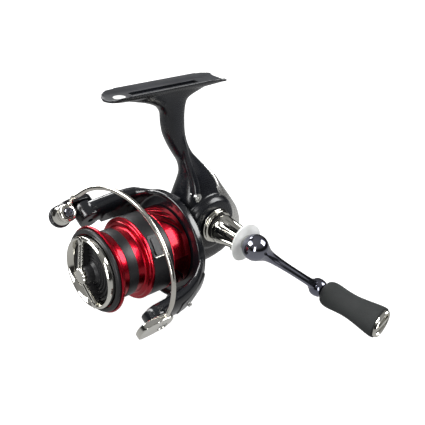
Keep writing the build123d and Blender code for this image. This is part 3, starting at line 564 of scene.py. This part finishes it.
def body():
    """Housing and side cover: one casting, hollowed, bored and split."""
    slot = rounded(box_outline(-SLOT_HALF_WIDTH, -SLOT_HALF_LENGTH,
                               SLOT_HALF_WIDTH, SLOT_HALF_LENGTH), 0.5)
    slot_cut = slab(slot, ALONG_X, ALONG_Y, ALONG_Z, -SLOT_DEPTH, SLOT_DEPTH)
    case, boss, far_boss, ridge = body_parts()
    rings = [[(x, max(y, CASE_FRONT + CASE_WALL), z) for x, y, z in
              oval(middle, height, half_x - CASE_WALL, half_y - CASE_WALL, power)]
             for height, middle, half_x, half_y, power in sections(-89.5, CASE_TOP_Z)]
    cavity = skinned(rings)
    drive_bore = spun(box_outline(0, -14, DRIVE_BORE_R, 14), about_drive, 48)
    pinion_bore = spun(box_outline(0, 4, PINION_BORE_R, 14), about_spool, 48)
    whole = melted("reel_body_shell", (case, boss, far_boss, ridge, foot_part()),
                   "body_black", "reel_body", ("body_housing",), 0.38, 9,
                   (slot_cut, cavity, drive_bore, pinion_bore))
    cover = bpy.data.objects.new("side_cover_shell", whole.data.copy())
    bpy.context.scene.collection.objects.link(cover)
    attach(cover, "reel_body")
    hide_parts("side_cover")
    cut(cover, *right_half(SPLIT_X + SPLIT_GAP), "INTERSECT")
    cut(whole, *right_half(SPLIT_X - SPLIT_GAP))
    # Painted shade: faces down in the foot's slot take the near-black seal_rubber finish,
    # standing in for the shade in the recess.
    whole.data.materials.append(LOOKS["seal_rubber"])
    whole.data.materials.append(LOOKS["foot_black"])
    for face in whole.data.polygons:
        middle = face.center / MM
        painted_slot_shade = abs(middle.x) < SLOT_HALF_WIDTH + 0.1 and abs(middle.y) < SLOT_HALF_LENGTH + 0.1
        if painted_slot_shade and -SLOT_DEPTH - 0.2 < middle.z < -0.15:
            face.material_index = 1
        elif middle.z > -0.9 and face.normal.z > 0.6:
            face.material_index = 2
    rear_trim()
    foot_white_oval()


def right_half(x):
    """Block over everything right of x below the shoulder of the case."""
    return side_slab(box_outline(0, -100, 60, SHOULDER_Z), x, 20)


# ---- spool ------------------------------------------------------------------
SLOT_GROUPS = (math.radians(62.0), math.radians(182.0), math.radians(302.0))
SLOT_REAR_TURNS = (-20.0, -5.0, 10.0, 24.0)     # rear ends in a group, degrees
SLOT_SWEEP = 34.0          # degrees from a slot's rear end to its front end
SLOT_HALF = 0.85
FACET_WIDTH, FACET_START = math.radians(21.0), math.radians(12.0)
SKIRT_R = 19.5
SKIRT_FRONT, SKIRT_REAR = -5.9, 3.7
SKIRT_STEP = 0.16


def slot_depth(along, angle):
    """Share of full depth of the slanted slots at this place, from 0 to 1."""
    best = 0.0
    for group in SLOT_GROUPS:
        turn = math.degrees((angle - group + math.pi) % (2 * math.pi) - math.pi)
        for rear_turn in SLOT_REAR_TURNS:
            reach = (turn - rear_turn) / SLOT_SWEEP
            if not 0.0 < reach < 1.0:
                continue
            line = 2.3 - 9.4 * reach + 1.5 * math.sin(math.pi * reach)
            half = SLOT_HALF * math.sin(math.pi * reach) ** 0.6
            near = 1 - abs(along - line) / max(half, 0.05)
            best = max(best, min(1.0, max(0.0, near * 2.4)))
    return best


def facet_radius(angle):
    """Flat facets round the skirt."""
    turn = (angle - FACET_START) % FACET_WIDTH - FACET_WIDTH / 2
    return SKIRT_R * math.cos(FACET_WIDTH / 2) / math.cos(turn)


def skirt_shape(radius, along, angle):
    """Radius of the skirt with its facets and slots; the rest of the spool stays round."""
    if radius < 19.35 or along < SKIRT_FRONT or along > SKIRT_REAR:
        return radius
    fade = min(1.0, (along - SKIRT_FRONT) / 0.8, (SKIRT_REAR - along) / 0.7)
    flat = facet_radius(angle)
    in_group = max(math.cos(1.5 * (angle - group)) if abs(
        (angle - group + math.pi) % (2 * math.pi) - math.pi) < 0.85 else 0.0
        for group in SLOT_GROUPS)
    plain = radius + (flat - radius) * fade * (1 - min(1.0, 1.6 * max(0.0, in_group)))
    return plain - slot_depth(along, angle)


def spool():
    """Spool turned in one piece, with painted shade in its slots, and the three black bands."""
    lip = [(11.5, -35.2), (19.3, -35.2), (19.75, -35.35), (20.1, -35.1), (20.25, -34.6),
           (20.1, -34.0), (19.5, -33.4), (18.4, -32.95), (17.9, -32.5), (17.75, -32.1),
           (16.4, -31.6), (15.95, -31.2), (15.8, -30.6), (15.8, -28.5), (15.5, -28.5),
           (15.5, -23.3), (15.8, -23.3), (15.8, -20.6), (15.95, -20.0), (16.4, -19.6),
           (17.8, -19.3), (18.0, -18.8), (18.3, -18.5), (19.3, -18.35), (19.6, -18.0),
           (19.6, -17.4), (19.35, -17.2), (18.7, -17.2), (18.7, -6.0), (19.3, -6.0)]
    skirt = [(SKIRT_R, -5.8 + SKIRT_STEP * i) for i in range(59)]
    rear = [(SKIRT_R, 3.66), (19.3, 3.95), (18.3, 4.0), (18.3, -14.2), (17.4, -15.2),
            (7.0, -15.2), (7.0, -17.0), (2.95, -17.0), (2.95, -25.6), (11.5, -25.6)]
    verts, faces = spun(lip + skirt + rear, about_spool, 900, skirt_shape)
    made = piece("spool_body", verts, faces, "spool_red", "spool", ("spool",), 28.0)
    # Painted shade: faces down in the skirt's slots take the near-black seal_rubber finish,
    # standing in for the shade in the grooves.
    made.data.materials.append(LOOKS["seal_rubber"])
    for face in made.data.polygons:
        middle = face.center / MM
        radius = math.hypot(middle.x, middle.z - SPOOL_Z)
        turn = math.atan2(middle.z - SPOOL_Z, middle.x)
        if 18.4 < radius and middle.y > SKIRT_FRONT and slot_depth(middle.y, turn) > 0.4:
            face.material_index = 1
    ring = rounded([(17.3, -37.1), (18.7, -37.1), (19.35, -36.4), (19.35, -35.3),
                    (17.3, -35.3)], 0.25)
    piece("spool_rim_ring", *spun(ring, about_spool, 160), "black_band", "spool",
          ("spool_front_ring",), 40.0)
    arbor = rounded(box_outline(15.55, -28.4, 16.0, -23.4), 0.12)
    piece("spool_arbor_band", *spun(arbor, about_spool, 200), "black_band", "spool",
          ("arbor_band",), 40.0)
    band = rounded(box_outline(18.75, -17.1, 19.45, -6.1), 0.18)
    piece("spool_rear_band", *spun(band, about_spool, 200), "black_band", "spool",
          ("rear_band",), 40.0)


CLIP_ANGLE = math.radians(39.0)
CLIP_LIP_TURN = math.radians(14.2)


def clip():
    """Line clip: a rounded plate with a raised button, on the spool's black band."""

    def patch(half_turn, y0, y1, low, high, corner):
        reach = math.radians(half_turn) * SKIRT_R
        outline = rounded(box_outline(-reach, y0, reach, y1), corner, 4)
        rings = []
        for radius in (low, high - 0.12, high):
            shrink = 1.0 if radius < high else 0.965
            rings.append([about_spool(radius, (y - (y0 + y1) / 2) * shrink + (y0 + y1) / 2,
                                      CLIP_ANGLE + u * shrink / SKIRT_R)
                          for u, y in outline])
        return skinned(rings)

    frame_part = patch(16.0, -16.6, -11.0, 19.2, 19.85, 1.0)
    button = patch(11.6, -15.4, -12.2, 19.3, 20.22, 0.7)
    piece("line_clip_plate", *joined(frame_part, button), "black_band", "line_clip",
          ("line_clip",), 30.0)
    tip = CLIP_ANGLE - CLIP_LIP_TURN
    rail = [Vector(about_spool(20.0, y, tip)) for y in (-16.2, -14.6, -13.0, -11.4)]
    lip = piece("line_clip_lip", *bar_along(rail, 0.2, 12), "chrome", "line_clip")


# ---- rotor and bail ---------------------------------------------------------
BAIL_AXIS_Y = -23.0
PIVOT_R, PIVOT_HEAD_R = 1.3, 2.6
KICK_ROD_X, SPRING_X = -26.4, 27.4
ROLLER_ROOM = 3.8          # half width kept free where the roller swings past the arm


def rod_between(start, end, radius, sides=40):
    return bar_along([Vector(start), Vector(start).lerp(Vector(end), 0.5), Vector(end)],
                     radius, sides)


def pivot_rod(x0, x1, radius, sides=40):
    """Round bar along the bail's axis."""
    return rod_between((x0, BAIL_AXIS_Y, 0), (x1, BAIL_AXIS_Y, 0), radius, sides)


def about_rotor(radius, along, angle):
    return on_rotor((radius * math.cos(angle), along, radius * math.sin(angle)))


def placed(shape):
    """A shape drawn with the arms along X, turned to where the rotor rests."""
    verts, faces = shape
    return [on_rotor(v) for v in verts], faces


ARM_SECTIONS = (           # y, middle radius, half thickness, half width
    (6.6, 24.6, 1.8, 21.0), (4.4, 25.9, 2.3, 18.4), (2.0, 27.2, 2.7, 15.8),
    (-1.5, 28.9, 2.9, 12.8), (-6.0, 30.1, 2.9, 10.2), (-11.0, 30.6, 2.8, 8.4),
    (-16.0, 30.7, 2.7, 7.2), (-20.5, 30.7, 2.7, 6.3), (-23.6, 30.7, 2.7, 5.6),
    (-25.8, 30.7, 2.4, 4.6), (-27.0, 30.7, 1.5, 2.8))


def rotor_arm(side, bulk, shorter):
    """One arm; bulk thickens its front block inwards, shorter pulls its end back."""
    rings = []
    for y, middle, half_thick, half_wide in ARM_SECTIONS:
        grow = bulk * share_past(-y, -1.0, 8.0)
        place_y = y + shorter * share_past(-y, 10.0, 12.0)
        room = ROLLER_ROOM + 0.85 * max(0.0, place_y + 10.5)
        middle, half_thick = middle - grow, half_thick + grow * min(1.0, (y + 28.4) / 2.0)
        half_wide += 0.9 * grow
        ring = []
        for turn in around(56):
            cos, sin = math.cos(turn), math.sin(turn)
            radius = middle + half_thick * signed_power(cos, 0.72)
            width = min(half_wide, room) if side < 0 and sin < 0 else half_wide
            angle = width * signed_power(sin, 0.8) / middle
            ring.append((side * radius * math.cos(angle), place_y, radius * math.sin(angle)))
        rings.append(ring)
    return skinned(rings)


def rotor():
    """Cup, two arms with their inner housings and the bail's pivot bosses, cast in one."""
    cup = spun([(2.95, -11), (15.8, -11), (17.2, -10.4), (17.9, -9.0), (17.9, 4.6), (24.6, 4.6),
                (25.4, 3.0), (26.2, 2.6), (26.8, 3.2), (26.84, 6.3), (26.3, 6.9), (15.8, 6.9),
                (15.8, -9.0), (6.2, -9.0), (6.2, 1.6), (2.95, 1.6)], about_rotor, 160)
    kick_housing = side_slab(rounded(box_outline(-17.0, -3.9, -1.5, 3.9), 1.6), -30.2, -24.2)
    spring_housing = side_slab(rounded(box_outline(-12.0, -4.1, 0.0, 4.1), 1.6), 24.5, 29.5)
    parts = [placed(shape) for shape in (
        rotor_arm(1, 0.5, 0.0), rotor_arm(-1, 1.7, 3.4), kick_housing, spring_housing,
        pivot_rod(28.0, 33.3, 5.4), pivot_rod(-25.0, -33.3, 5.5, 64))]
    bores = joined(rod_between((KICK_ROD_X, -20.0, 0), (KICK_ROD_X, 10.0, 0), 1.15, 24),
                   rod_between((SPRING_X, -10.8, 0), (SPRING_X, -1.8, 0), 1.9, 24),
                   pivot_rod(24.0, 36.0, PIVOT_R, 24), pivot_rod(-24.0, -36.0, PIVOT_R, 24))
    melted("rotor_shell", [cup, *parts], "rotor_black", "rotor", ("rotor",), 0.42, 6,
           (placed(bores),))


COVER_SECTIONS = (         # y, top radius, half width
    (-10.6, 33.3, 2.6), (-10.0, 33.6, 4.0), (-8.0, 33.7, 5.4), (-4.0, 33.5, 7.2),
    (-1.0, 33.1, 8.8), (1.5, 32.2, 10.2), (3.6, 30.9, 11.0), (5.2, 29.4, 10.6),
    (6.0, 28.0, 8.0))
KICK_ROD_CLEAR_R = 27.5    # the kick lever slides inside this radius


def roller_arm_cover():
    """Crowned plate over the spring housing of the roller arm."""
    rings = []
    for y, top, half_wide in COVER_SECTIONS:
        half_thick = min(1.6, (top - KICK_ROD_CLEAR_R) / 2)
        middle = top - half_thick
        ring = []
        for turn in around(56):
            radius = middle + half_thick * signed_power(math.cos(turn), 0.7)
            angle = half_wide * signed_power(math.sin(turn), 0.85) / middle
            ring.append((-radius * math.cos(angle), y, radius * math.sin(angle)))
        rings.append(ring)
    piece("roller_arm_cover_smooth", *placed(skinned(rings)), "rotor_black", "rotor",
          ("roller_arm_cover",), 50.0)


ROLLER_CENTRE = Vector((-31.6, -34.0, 0.8))
ROLLER_AXIS = Vector((0.4555, -0.08, 0.888)).normalized()
ROLLER_SIDE = Vector((0, 1, 0)).cross(ROLLER_AXIS).normalized()
ROLLER_UP = ROLLER_AXIS.cross(ROLLER_SIDE)
WIRE_R, WIRE_END_R = 1.05, 1.7
WIRE_SHAPE = (             # angle round the spool axis, radius, y
    (157.0, 34.2, -30.4), (141.0, 35.6, -28.0), (122.0, 36.2, -25.4),
    (101.0, 36.4, -23.4), (80.0, 36.2, -22.0), (60.0, 36.2, -21.2),
    (41.0, 36.6, -20.9), (25.0, 36.6, -21.3), (13.0, 36.0, -22.2))


def on_spool_circle(turn, radius, y):
    """Point drawn about the Y axis, turn in degrees."""
    return Vector((radius * math.cos(math.radians(turn)), y,
                   radius * math.sin(math.radians(turn))))


def about_roller(radius, along, angle):
    return on_rotor(ROLLER_CENTRE + ROLLER_AXIS * along + ROLLER_SIDE * radius * math.cos(angle)
                    + ROLLER_UP * radius * math.sin(angle))


def roller_set():
    """Grooved roller, its screw, and the wire with the boss that holds the roller."""
    groove = [(1.25, -3.4), (4.3, -3.4), (4.55, -3.0), (4.5, -2.4), (3.9, -1.2), (3.6, 0.2),
              (3.7, 1.4), (4.1, 2.4), (4.3, 2.9), (4.1, 3.3), (1.25, 3.3)]
    piece("roller_polished", *spun(groove, about_roller, 96), "chrome", "line_roller",
          ("line_roller",), 50.0)
    screw = [(0, -5.3), (1.2, -5.3), (1.2, 6.5), (2.2, 6.5), (2.3, 6.8), (2.2, 7.3),
             (1.9, 7.6), (1.0, 7.6), (0.85, 7.0), (0, 7.0)]
    piece("roller_screw_head", *spun(screw, about_roller, 60), "dark_chrome", "bail",
          ("roller_screw",), 32.0)
    boss = [(1.25, 3.4), (3.9, 3.4), (4.2, 3.8), (4.2, 5.4), (3.9, 6.1), (3.3, 6.5),
            (2.6, 6.6), (2.45, 6.1), (1.25, 6.1)]
    boss_middle = ROLLER_CENTRE + ROLLER_AXIS * 4.9
    leaves = Vector((-0.688, 0.603, 0.407)).normalized()
    points = [boss_middle + leaves * 3.2, boss_middle + leaves * 5.4,
              Vector((-33.4, -30.6, 10.6))]
    points += [on_spool_circle(*row) for row in WIRE_SHAPE]
    points += [Vector((35.4, -23.0, 4.6)), Vector((35.3, -23.6, 3.0))]
    line = curve_points(points, 12)
    last = len(line) - 1
    sizes = [max(WIRE_R, WIRE_END_R - 0.06 * min(i, last - i)) for i in range(len(line))]
    wire = bar_along(line, sizes, 24)
    piece("bail_wire_polished", *joined(spun(boss, about_roller, 96), placed(wire)), "wire",
          "bail", ("bail_wire",), 50.0)


def bail_arm():
    """Dark lever that ends in a capsule round the outer end of the roller."""
    outline = rounded([(-17.2, -3.2), (-17.2, 3.2), (-21.0, 6.0), (-27.0, 5.8), (-33.0, 4.2),
                       (-36.0, 0.5), (-36.4, -4.6), (-33.6, -7.2), (-28.0, -6.4),
                       (-21.0, -5.8)], 2.4, 5)
    lever = placed(side_slab(outline, -36.7, -33.7))
    cap = [(0, -7.4), (3.2, -7.3), (4.6, -6.7), (5.3, -5.6), (5.4, -4.2), (5.2, -3.6),
           (0, -3.6)]
    seats = joined(spun(box_outline(0, -3.6, 4.9, 2.0), about_roller, 72),
                   placed(pivot_rod(-38.5, -35.2, PIVOT_HEAD_R)))
    pin_holes = joined(placed(pivot_rod(-36.0, -28.0, PIVOT_R, 24)),
                       spun(box_outline(0, -5.4, 1.25, 1.0), about_roller, 40))
    melted("bail_arm_smooth", (lever, spun(cap, about_roller, 96)), "rotor_black", "bail",
           ("bail_arm",), 0.3, 5, (seats, pin_holes))


def bail_holder():
    """Bright plate outside the plain arm that carries the wire's other end."""
    outline = rounded([(-34.4, -4.2), (-30.0, -5.0), (-20.0, -3.6), (-17.4, 0.8),
                       (-18.6, 6.0), (-24.0, 7.0), (-33.4, 5.8), (-35.2, 1.4)], 2.0, 5)
    plate = placed(side_slab(outline, 33.7, 36.7))
    seat = placed(pivot_rod(38.5, 35.2, PIVOT_HEAD_R))
    hole = placed(pivot_rod(36.0, 30.0, PIVOT_R, 24))
    melted("bail_holder_smooth", (plate,), "chrome", "bail", ("bail_holder",), 0.3, 4,
           (seat, hole))


# ---- drag knob --------------------------------------------------------------
KNOB_TURN = math.radians(110.0)
DISH_RIDGES, DISH_PITCH = 5, 1.65
CAP_TEETH = 12


def on_knob(along_bar, y, across=0.0):
    """Point of the drag knob, measured along and across its bar."""
    cos, sin = math.cos(KNOB_TURN), math.sin(KNOB_TURN)
    return (along_bar * cos - across * sin, y, along_bar * sin + across * cos + SPOOL_Z)


def knob_plate(outline, low, high):
    rings = [[on_knob(u, y, side) for u, y in outline] for side in (low, high)]
    return skinned(rings)


def drag_knob():
    """Black dish with its hub, and the bright ring, bar and cap."""
    ring = rounded([(14.0, -36.2), (14.2, -37.4), (15.0, -39.0), (15.6, -40.0), (16.2, -40.1),
                    (16.9, -39.2), (16.9, -36.2)], 0.3)
    dish = [(4.65, -31.2), (8.0, -31.2), (8.0, -35.9), (16.6, -35.9), (16.6, -36.1),
            (14.2, -36.3)]
    for i in range(DISH_RIDGES):
        outer = 13.8 - DISH_PITCH * i
        dish += [(outer, -36.5 - 0.16 * i), (outer - 0.3, -37.2 - 0.16 * i),
                 (outer - 0.95, -37.25 - 0.16 * i), (outer - 1.25, -36.7 - 0.16 * i)]
    dish += [(5.6, -37.7), (4.9, -38.3), (4.6, -38.7), (4.4, -41.6), (4.0, -42.2),
             (2.2, -42.2), (2.2, -37.6), (4.65, -37.6)]
    fins = []
    for side in (-1, 1):
        fin = [(side * 15.0, -38.2), (side * 14.4, -39.4), (side * 3.6, -42.3),
               (side * 2.9, -42.1), (side * 2.9, -38.2), (side * 14.4, -37.0)]
        fins.append(knob_plate(fin, -0.8, 0.8))
    piece("drag_knob_core", *joined(spun(dish, about_spool, 128), *fins), "black_band",
          "drag_knob", ("drag_knob",), 30.0)
    rails = []
    rail = [(-15.2, -38.6), (-14.6, -39.9), (-3.2, -43.1), (3.2, -43.1), (14.6, -39.9),
            (15.2, -38.6), (14.6, -38.9), (3.2, -42.2), (-3.2, -42.2), (-14.6, -38.9)]
    for low in (-1.7, 0.7):
        rails.append(knob_plate(rail, low, low + 1.0))
    for side in (-1, 1):
        spot = Vector(on_knob(side * 14.7, -38.4))
        tip = Vector(on_knob(side * 14.7, -40.5))
        rails.append(bar_along([spot, spot.lerp(tip, 0.75), tip], [2.0, 1.9, 1.1], 28))
    cap = [(0, -42.2), (3.7, -42.2), (3.7, -43.4), (3.2, -43.95), (0, -44.0)]

    def serrated(radius, along, angle):
        notch = 0.35 * max(0.0, math.cos(CAP_TEETH * angle)) ** 2
        return radius - (notch if radius > 3.0 else 0.0)

    trim = joined(spun(ring, about_spool, 160), spun(cap, about_spool, 144, serrated), *rails)
    piece("drag_knob_chrome", *trim, "chrome", "drag_knob", ("drag_knob_trim",), 30.0, 0.08)


# ---- handle -----------------------------------------------------------------
FLUTES, FLUTE_DEPTH = 8, 0.75
FLUTE_START, FLUTE_LENGTH = 20.2, 12.4


def handle():
    """Fluted sleeve, ribbed collar and the soft disc before the ball."""
    def fluted(radius, along, angle):
        if not FLUTE_START < along < 32.6 or radius < 3.7:
            return radius
        depth = FLUTE_DEPTH * math.sin(math.pi * (along - FLUTE_START) / FLUTE_LENGTH) ** 0.5
        return radius - depth * max(0.0, math.cos(FLUTES * angle)) ** 0.7

    sleeve = [(2.8, 17.3), (6.2, 17.3), (6.9, 17.8), (7.1, 18.4), (7.1, 19.4), (6.8, 20.0)]
    sleeve += [(6.75 - 0.125 * i, 20.4 + i) for i in range(13)]
    sleeve += [(4.9, 33.2), (3.6, 33.3), (3.6, 31.0), (2.8, 31.0)]
    piece("handle_sleeve_fluted", *spun(sleeve, about_drive, 256, fluted), "chrome", "crank",
          ("handle_sleeve",), 34.0)
    collar = [(3.0, 13.2), (8.1, 13.2), (8.5, 13.6), (8.5, 14.0), (8.0, 14.3), (7.5, 14.4),
              (7.5, 14.6), (8.0, 14.7), (8.2, 15.1), (8.0, 15.5), (7.4, 15.8), (3.0, 15.8)]
    piece("shaft_collar_ribbed", *spun(rounded(collar, 0.12, 2), about_drive, 160), "chrome",
          "crank", ("shaft_collar",), 34.0)

    def wavy(radius, along, angle):
        return radius + (0.25 * math.cos(3 * angle) if radius > 8.0 else 0.0)

    disc = rounded([(3.55, 33.45), (9.1, 33.3), (9.25, 33.8), (9.0, 34.2), (3.55, 34.2)], 0.2)
    piece("packing_disc_soft", *spun(disc, about_drive, 128, wavy), "white_plastic", "crank",
          ("packing_disc",), 40.0)


BALL_X, BALL_R = 40.0, 6.3
ARM_EYE_X = 54.0
KNOB_Y, KNOB_Z = 59.1, -96.7


def handle_arm():
    """Ball, a neck that flows out of it, a slim ridged arm and a rounded eye."""
    start = Vector((BALL_X, DRIVE_Y, DRIVE_Z))
    finish = Vector((ARM_EYE_X, KNOB_Y, KNOB_Z))
    along = (finish - start).normalized()
    side = Vector((1, 0, 0)) - along * along.x
    side.normalize()
    other = along.cross(side)
    length = (finish - start).length
    rings = []
    profile = ((3.0, 5.5, 5.5), (5.4, 4.3, 4.3), (7.0, 3.5, 3.5), (9.0, 2.9, 2.9),
               (12.0, 2.3, 2.5), (17.0, 1.8, 2.2), (24.0, 1.5, 2.0), (31.0, 1.5, 2.0),
               (37.0, 1.6, 2.0), (41.0, 1.8, 2.2), (length - 1.0, 2.2, 2.4))
    for reach, thick, wide in profile:
        middle = start + along * reach
        waist = min(share_past(reach, 8.0, 5.0), share_past(length - reach, 4.0, 6.0))
        ring = []
        for angle in around(64):
            groove = 0.55 * waist * max(0.0, math.cos(angle)) ** 10
            ring.append(tuple(middle + side * (thick - groove) * math.cos(angle)
                              + other * wide * math.sin(angle)))
        rings.append(ring)
    circle = [(BALL_R * math.sin(math.pi * i / 40), BALL_X - BALL_R * math.cos(math.pi * i / 40))
              for i in range(41)]
    ball = spun([(radius, x) for radius, x in circle if x > BALL_X - 5.0], about_drive, 96)

    def about_knob(radius, x, angle):
        return (x, KNOB_Y + radius * math.cos(angle), KNOB_Z + radius * math.sin(angle))

    eye = spun([(1.7, 50.3), (2.9, 50.2), (3.9, 50.8), (4.5, 52.0), (4.6, 53.6), (4.3, 55.4),
                (3.6, 56.6), (3.0, 57.3), (1.7, 57.4)], about_knob, 72)
    piece("handle_arm_smooth", *joined(skinned(rings), ball, eye), "dark_chrome", "crank",
          ("handle_arm",), 50.0)


GRIP_TURN = math.radians(-36.0)


def on_grip(x, broad, thin):
    """Point of the grip: broad and thin are offsets along its two cross directions."""
    cos, sin = math.cos(GRIP_TURN), math.sin(GRIP_TURN)
    y = -broad * sin + thin * cos
    z = broad * cos + thin * sin
    return (x, KNOB_Y + y, KNOB_Z + z)


GRIP_LEAN = math.radians(28.0)     # turn of the ridge on the grip's end cap


def grip():
    """Soft flattened grip, and its bright end cap with a ridge across it."""
    sizes = ((57.7, 3.3, 2.9, 2.0), (58.0, 4.9, 4.1, 2.1), (59.2, 6.1, 4.9, 2.2),
             (62.0, 6.7, 5.2, 2.3), (66.0, 6.3, 4.8, 2.3), (70.0, 5.9, 4.5, 2.3),
             (75.0, 5.9, 4.4, 2.4), (80.0, 6.5, 4.5, 2.5), (85.0, 7.3, 4.8, 2.6),
             (89.0, 7.8, 5.0, 2.6), (90.2, 7.7, 4.9, 2.6), (90.5, 7.1, 4.4, 2.6))
    rings = []
    for x, broad, thin, power in sizes:
        rings.append([on_grip(x, broad * signed_power(math.cos(angle), 2 / power),
                              thin * signed_power(math.sin(angle), 2 / power))
                      for angle in around(72)])
    made = piece("knob_grip_rubber", *skinned(rings), "knob_rubber", "handle_knob",
                 ("knob_grip",), 60.0)
    soft = made.modifiers.new("soft", "SUBSURF")
    soft.levels = soft.render_levels = 1
    settle(made)
    rings = []
    for x, share in ((90.3, 1.0), (91.5, 1.0), (91.9, 0.95), (91.9, 0.80), (91.0, 0.74)):
        rings.append([on_grip(x, share * 6.9 * math.cos(angle), share * 4.3 * math.sin(angle))
                      for angle in around(64)])
    bar = rounded(box_outline(-4.2, -0.9, 4.2, 0.9), 0.8)
    cos, sin = math.cos(GRIP_LEAN), math.sin(GRIP_LEAN)
    ridge = []
    for x, share in ((90.9, 1.0), (91.7, 1.0), (91.85, 0.85)):
        ridge.append([on_grip(x, share * (u * cos - v * sin), share * (u * sin + v * cos))
                      for u, v in bar])
    piece("knob_end_cap", *joined(skinned(rings), skinned(ridge)), "chrome", "handle_knob",
          ("knob_cap",), 30.0)


body()
rotor()
roller_arm_cover()
roller_set()
bail_arm()
bail_holder()
spool()
clip()
drag_knob()
handle()
handle_arm()
grip()


# ---- stage, light and camera ------------------------------------------------
FLOOR_HALF, FLOOR_DROP = 6.0, 0.002             # metres
FLOOR_GLOW = 0.93


def floor():
    """White floor just below the reel, left out of what the reel reflects."""
    mesh = bpy.data.meshes.new("floor")
    z = cad_box[0].z - FLOOR_DROP
    corners = box_outline(-FLOOR_HALF, -FLOOR_HALF, FLOOR_HALF, FLOOR_HALF)
    mesh.from_pydata([(x, y, z) for x, y in corners], [], [(0, 1, 2, 3)])
    made = bpy.data.objects.new("floor", mesh)
    bpy.context.scene.collection.objects.link(made)
    material, _, shader = new_material("floor")
    shader.inputs["Base Color"].default_value = (0.30, 0.30, 0.30, 1)
    shader.inputs["Roughness"].default_value = 0.9
    shader.inputs["Specular IOR Level"].default_value = 0.0
    shader.inputs["Emission Color"].default_value = (1, 1, 1, 1)
    shader.inputs["Emission Strength"].default_value = FLOOR_GLOW
    mesh.materials.append(material)
    made.visible_glossy = False
    made.visible_diffuse = False


def softbox(name, place, target, size, power):
    light = bpy.data.lights.new(name, "AREA")
    light.shape = "RECTANGLE"
    light.size, light.size_y = size
    light.energy = power
    made = bpy.data.objects.new(name, light)
    bpy.context.scene.collection.objects.link(made)
    made.location = place
    aim = Vector(target) - Vector(place)
    made.rotation_euler = aim.to_track_quat("-Z", "Y").to_euler()


def sky():
    """White to the eye; what metal reflects has a dark band from the horizon upwards."""
    world = bpy.data.worlds.new("studio")
    bpy.context.scene.world = world
    world.use_nodes = True
    tree = world.node_tree
    tree.nodes.clear()
    place = tree.nodes.new("ShaderNodeTexCoord")
    split = tree.nodes.new("ShaderNodeSeparateXYZ")
    ramp = tree.nodes.new("ShaderNodeValToRGB")
    steps = [(0.0, 0.58), (0.41, 0.46), (0.47, 0.03), (0.60, 0.02), (0.72, 0.20), (1.0, 0.36)]
    while len(ramp.color_ramp.elements) < len(steps):
        ramp.color_ramp.elements.new(0.5)
    for element, (at, value) in zip(ramp.color_ramp.elements, steps):
        element.position = at
        element.color = (value, value, value, 1)
    remap = tree.nodes.new("ShaderNodeMapRange")
    remap.inputs["From Min"].default_value = -1.0
    seen = tree.nodes.new("ShaderNodeLightPath")
    inner = tree.nodes.new("ShaderNodeBackground")
    outer = tree.nodes.new("ShaderNodeBackground")
    mix = tree.nodes.new("ShaderNodeMixShader")
    out = tree.nodes.new("ShaderNodeOutputWorld")
    link(tree, place.outputs["Generated"], split.inputs["Vector"])
    link(tree, split.outputs["Z"], remap.inputs["Value"])
    link(tree, remap.outputs["Result"], ramp.inputs["Fac"])
    link(tree, ramp.outputs["Color"], inner.inputs["Color"])
    outer.inputs["Color"].default_value = (1, 1, 1, 1)
    link(tree, seen.outputs["Is Camera Ray"], mix.inputs["Fac"])
    link(tree, inner.outputs["Background"], mix.inputs[1])
    link(tree, outer.outputs["Background"], mix.inputs[2])
    link(tree, mix.outputs["Shader"], out.inputs["Surface"])


def camera():
    data = bpy.data.cameras.new("camera")
    data.sensor_width = 36.0
    data.lens = 59.13
    data.clip_start = 0.01
    data.clip_end = 30.0
    made = bpy.data.objects.new("camera", data)
    bpy.context.scene.collection.objects.link(made)
    right = Vector((0.6802, 0.7294, 0.0723)).normalized()
    back = Vector((0.6272, -0.6302, 0.4577)).normalized()
    up = back.cross(right).normalized()
    right = up.cross(back)
    turn = Matrix((right, up, back)).transposed().to_4x4()
    made.matrix_world = Matrix.Translation((0.2203, -0.1863, 0.0901)) @ turn
    bpy.context.scene.camera = made


floor()
sky()
middle = (0.01, 0.01, -0.06)
softbox("key", (-0.25, -0.45, 0.42), middle, (0.50, 0.36), 7.0)
softbox("front", (0.42, -0.50, 0.10), middle, (0.16, 0.45), 2.3)
softbox("rim", (0.35, 0.45, 0.35), middle, (0.40, 0.40), 5.5)
softbox("left", (-0.50, 0.10, 0.15), middle, (0.16, 0.50), 2.8)
camera()
bpy.context.scene.view_settings.view_transform = "Standard"
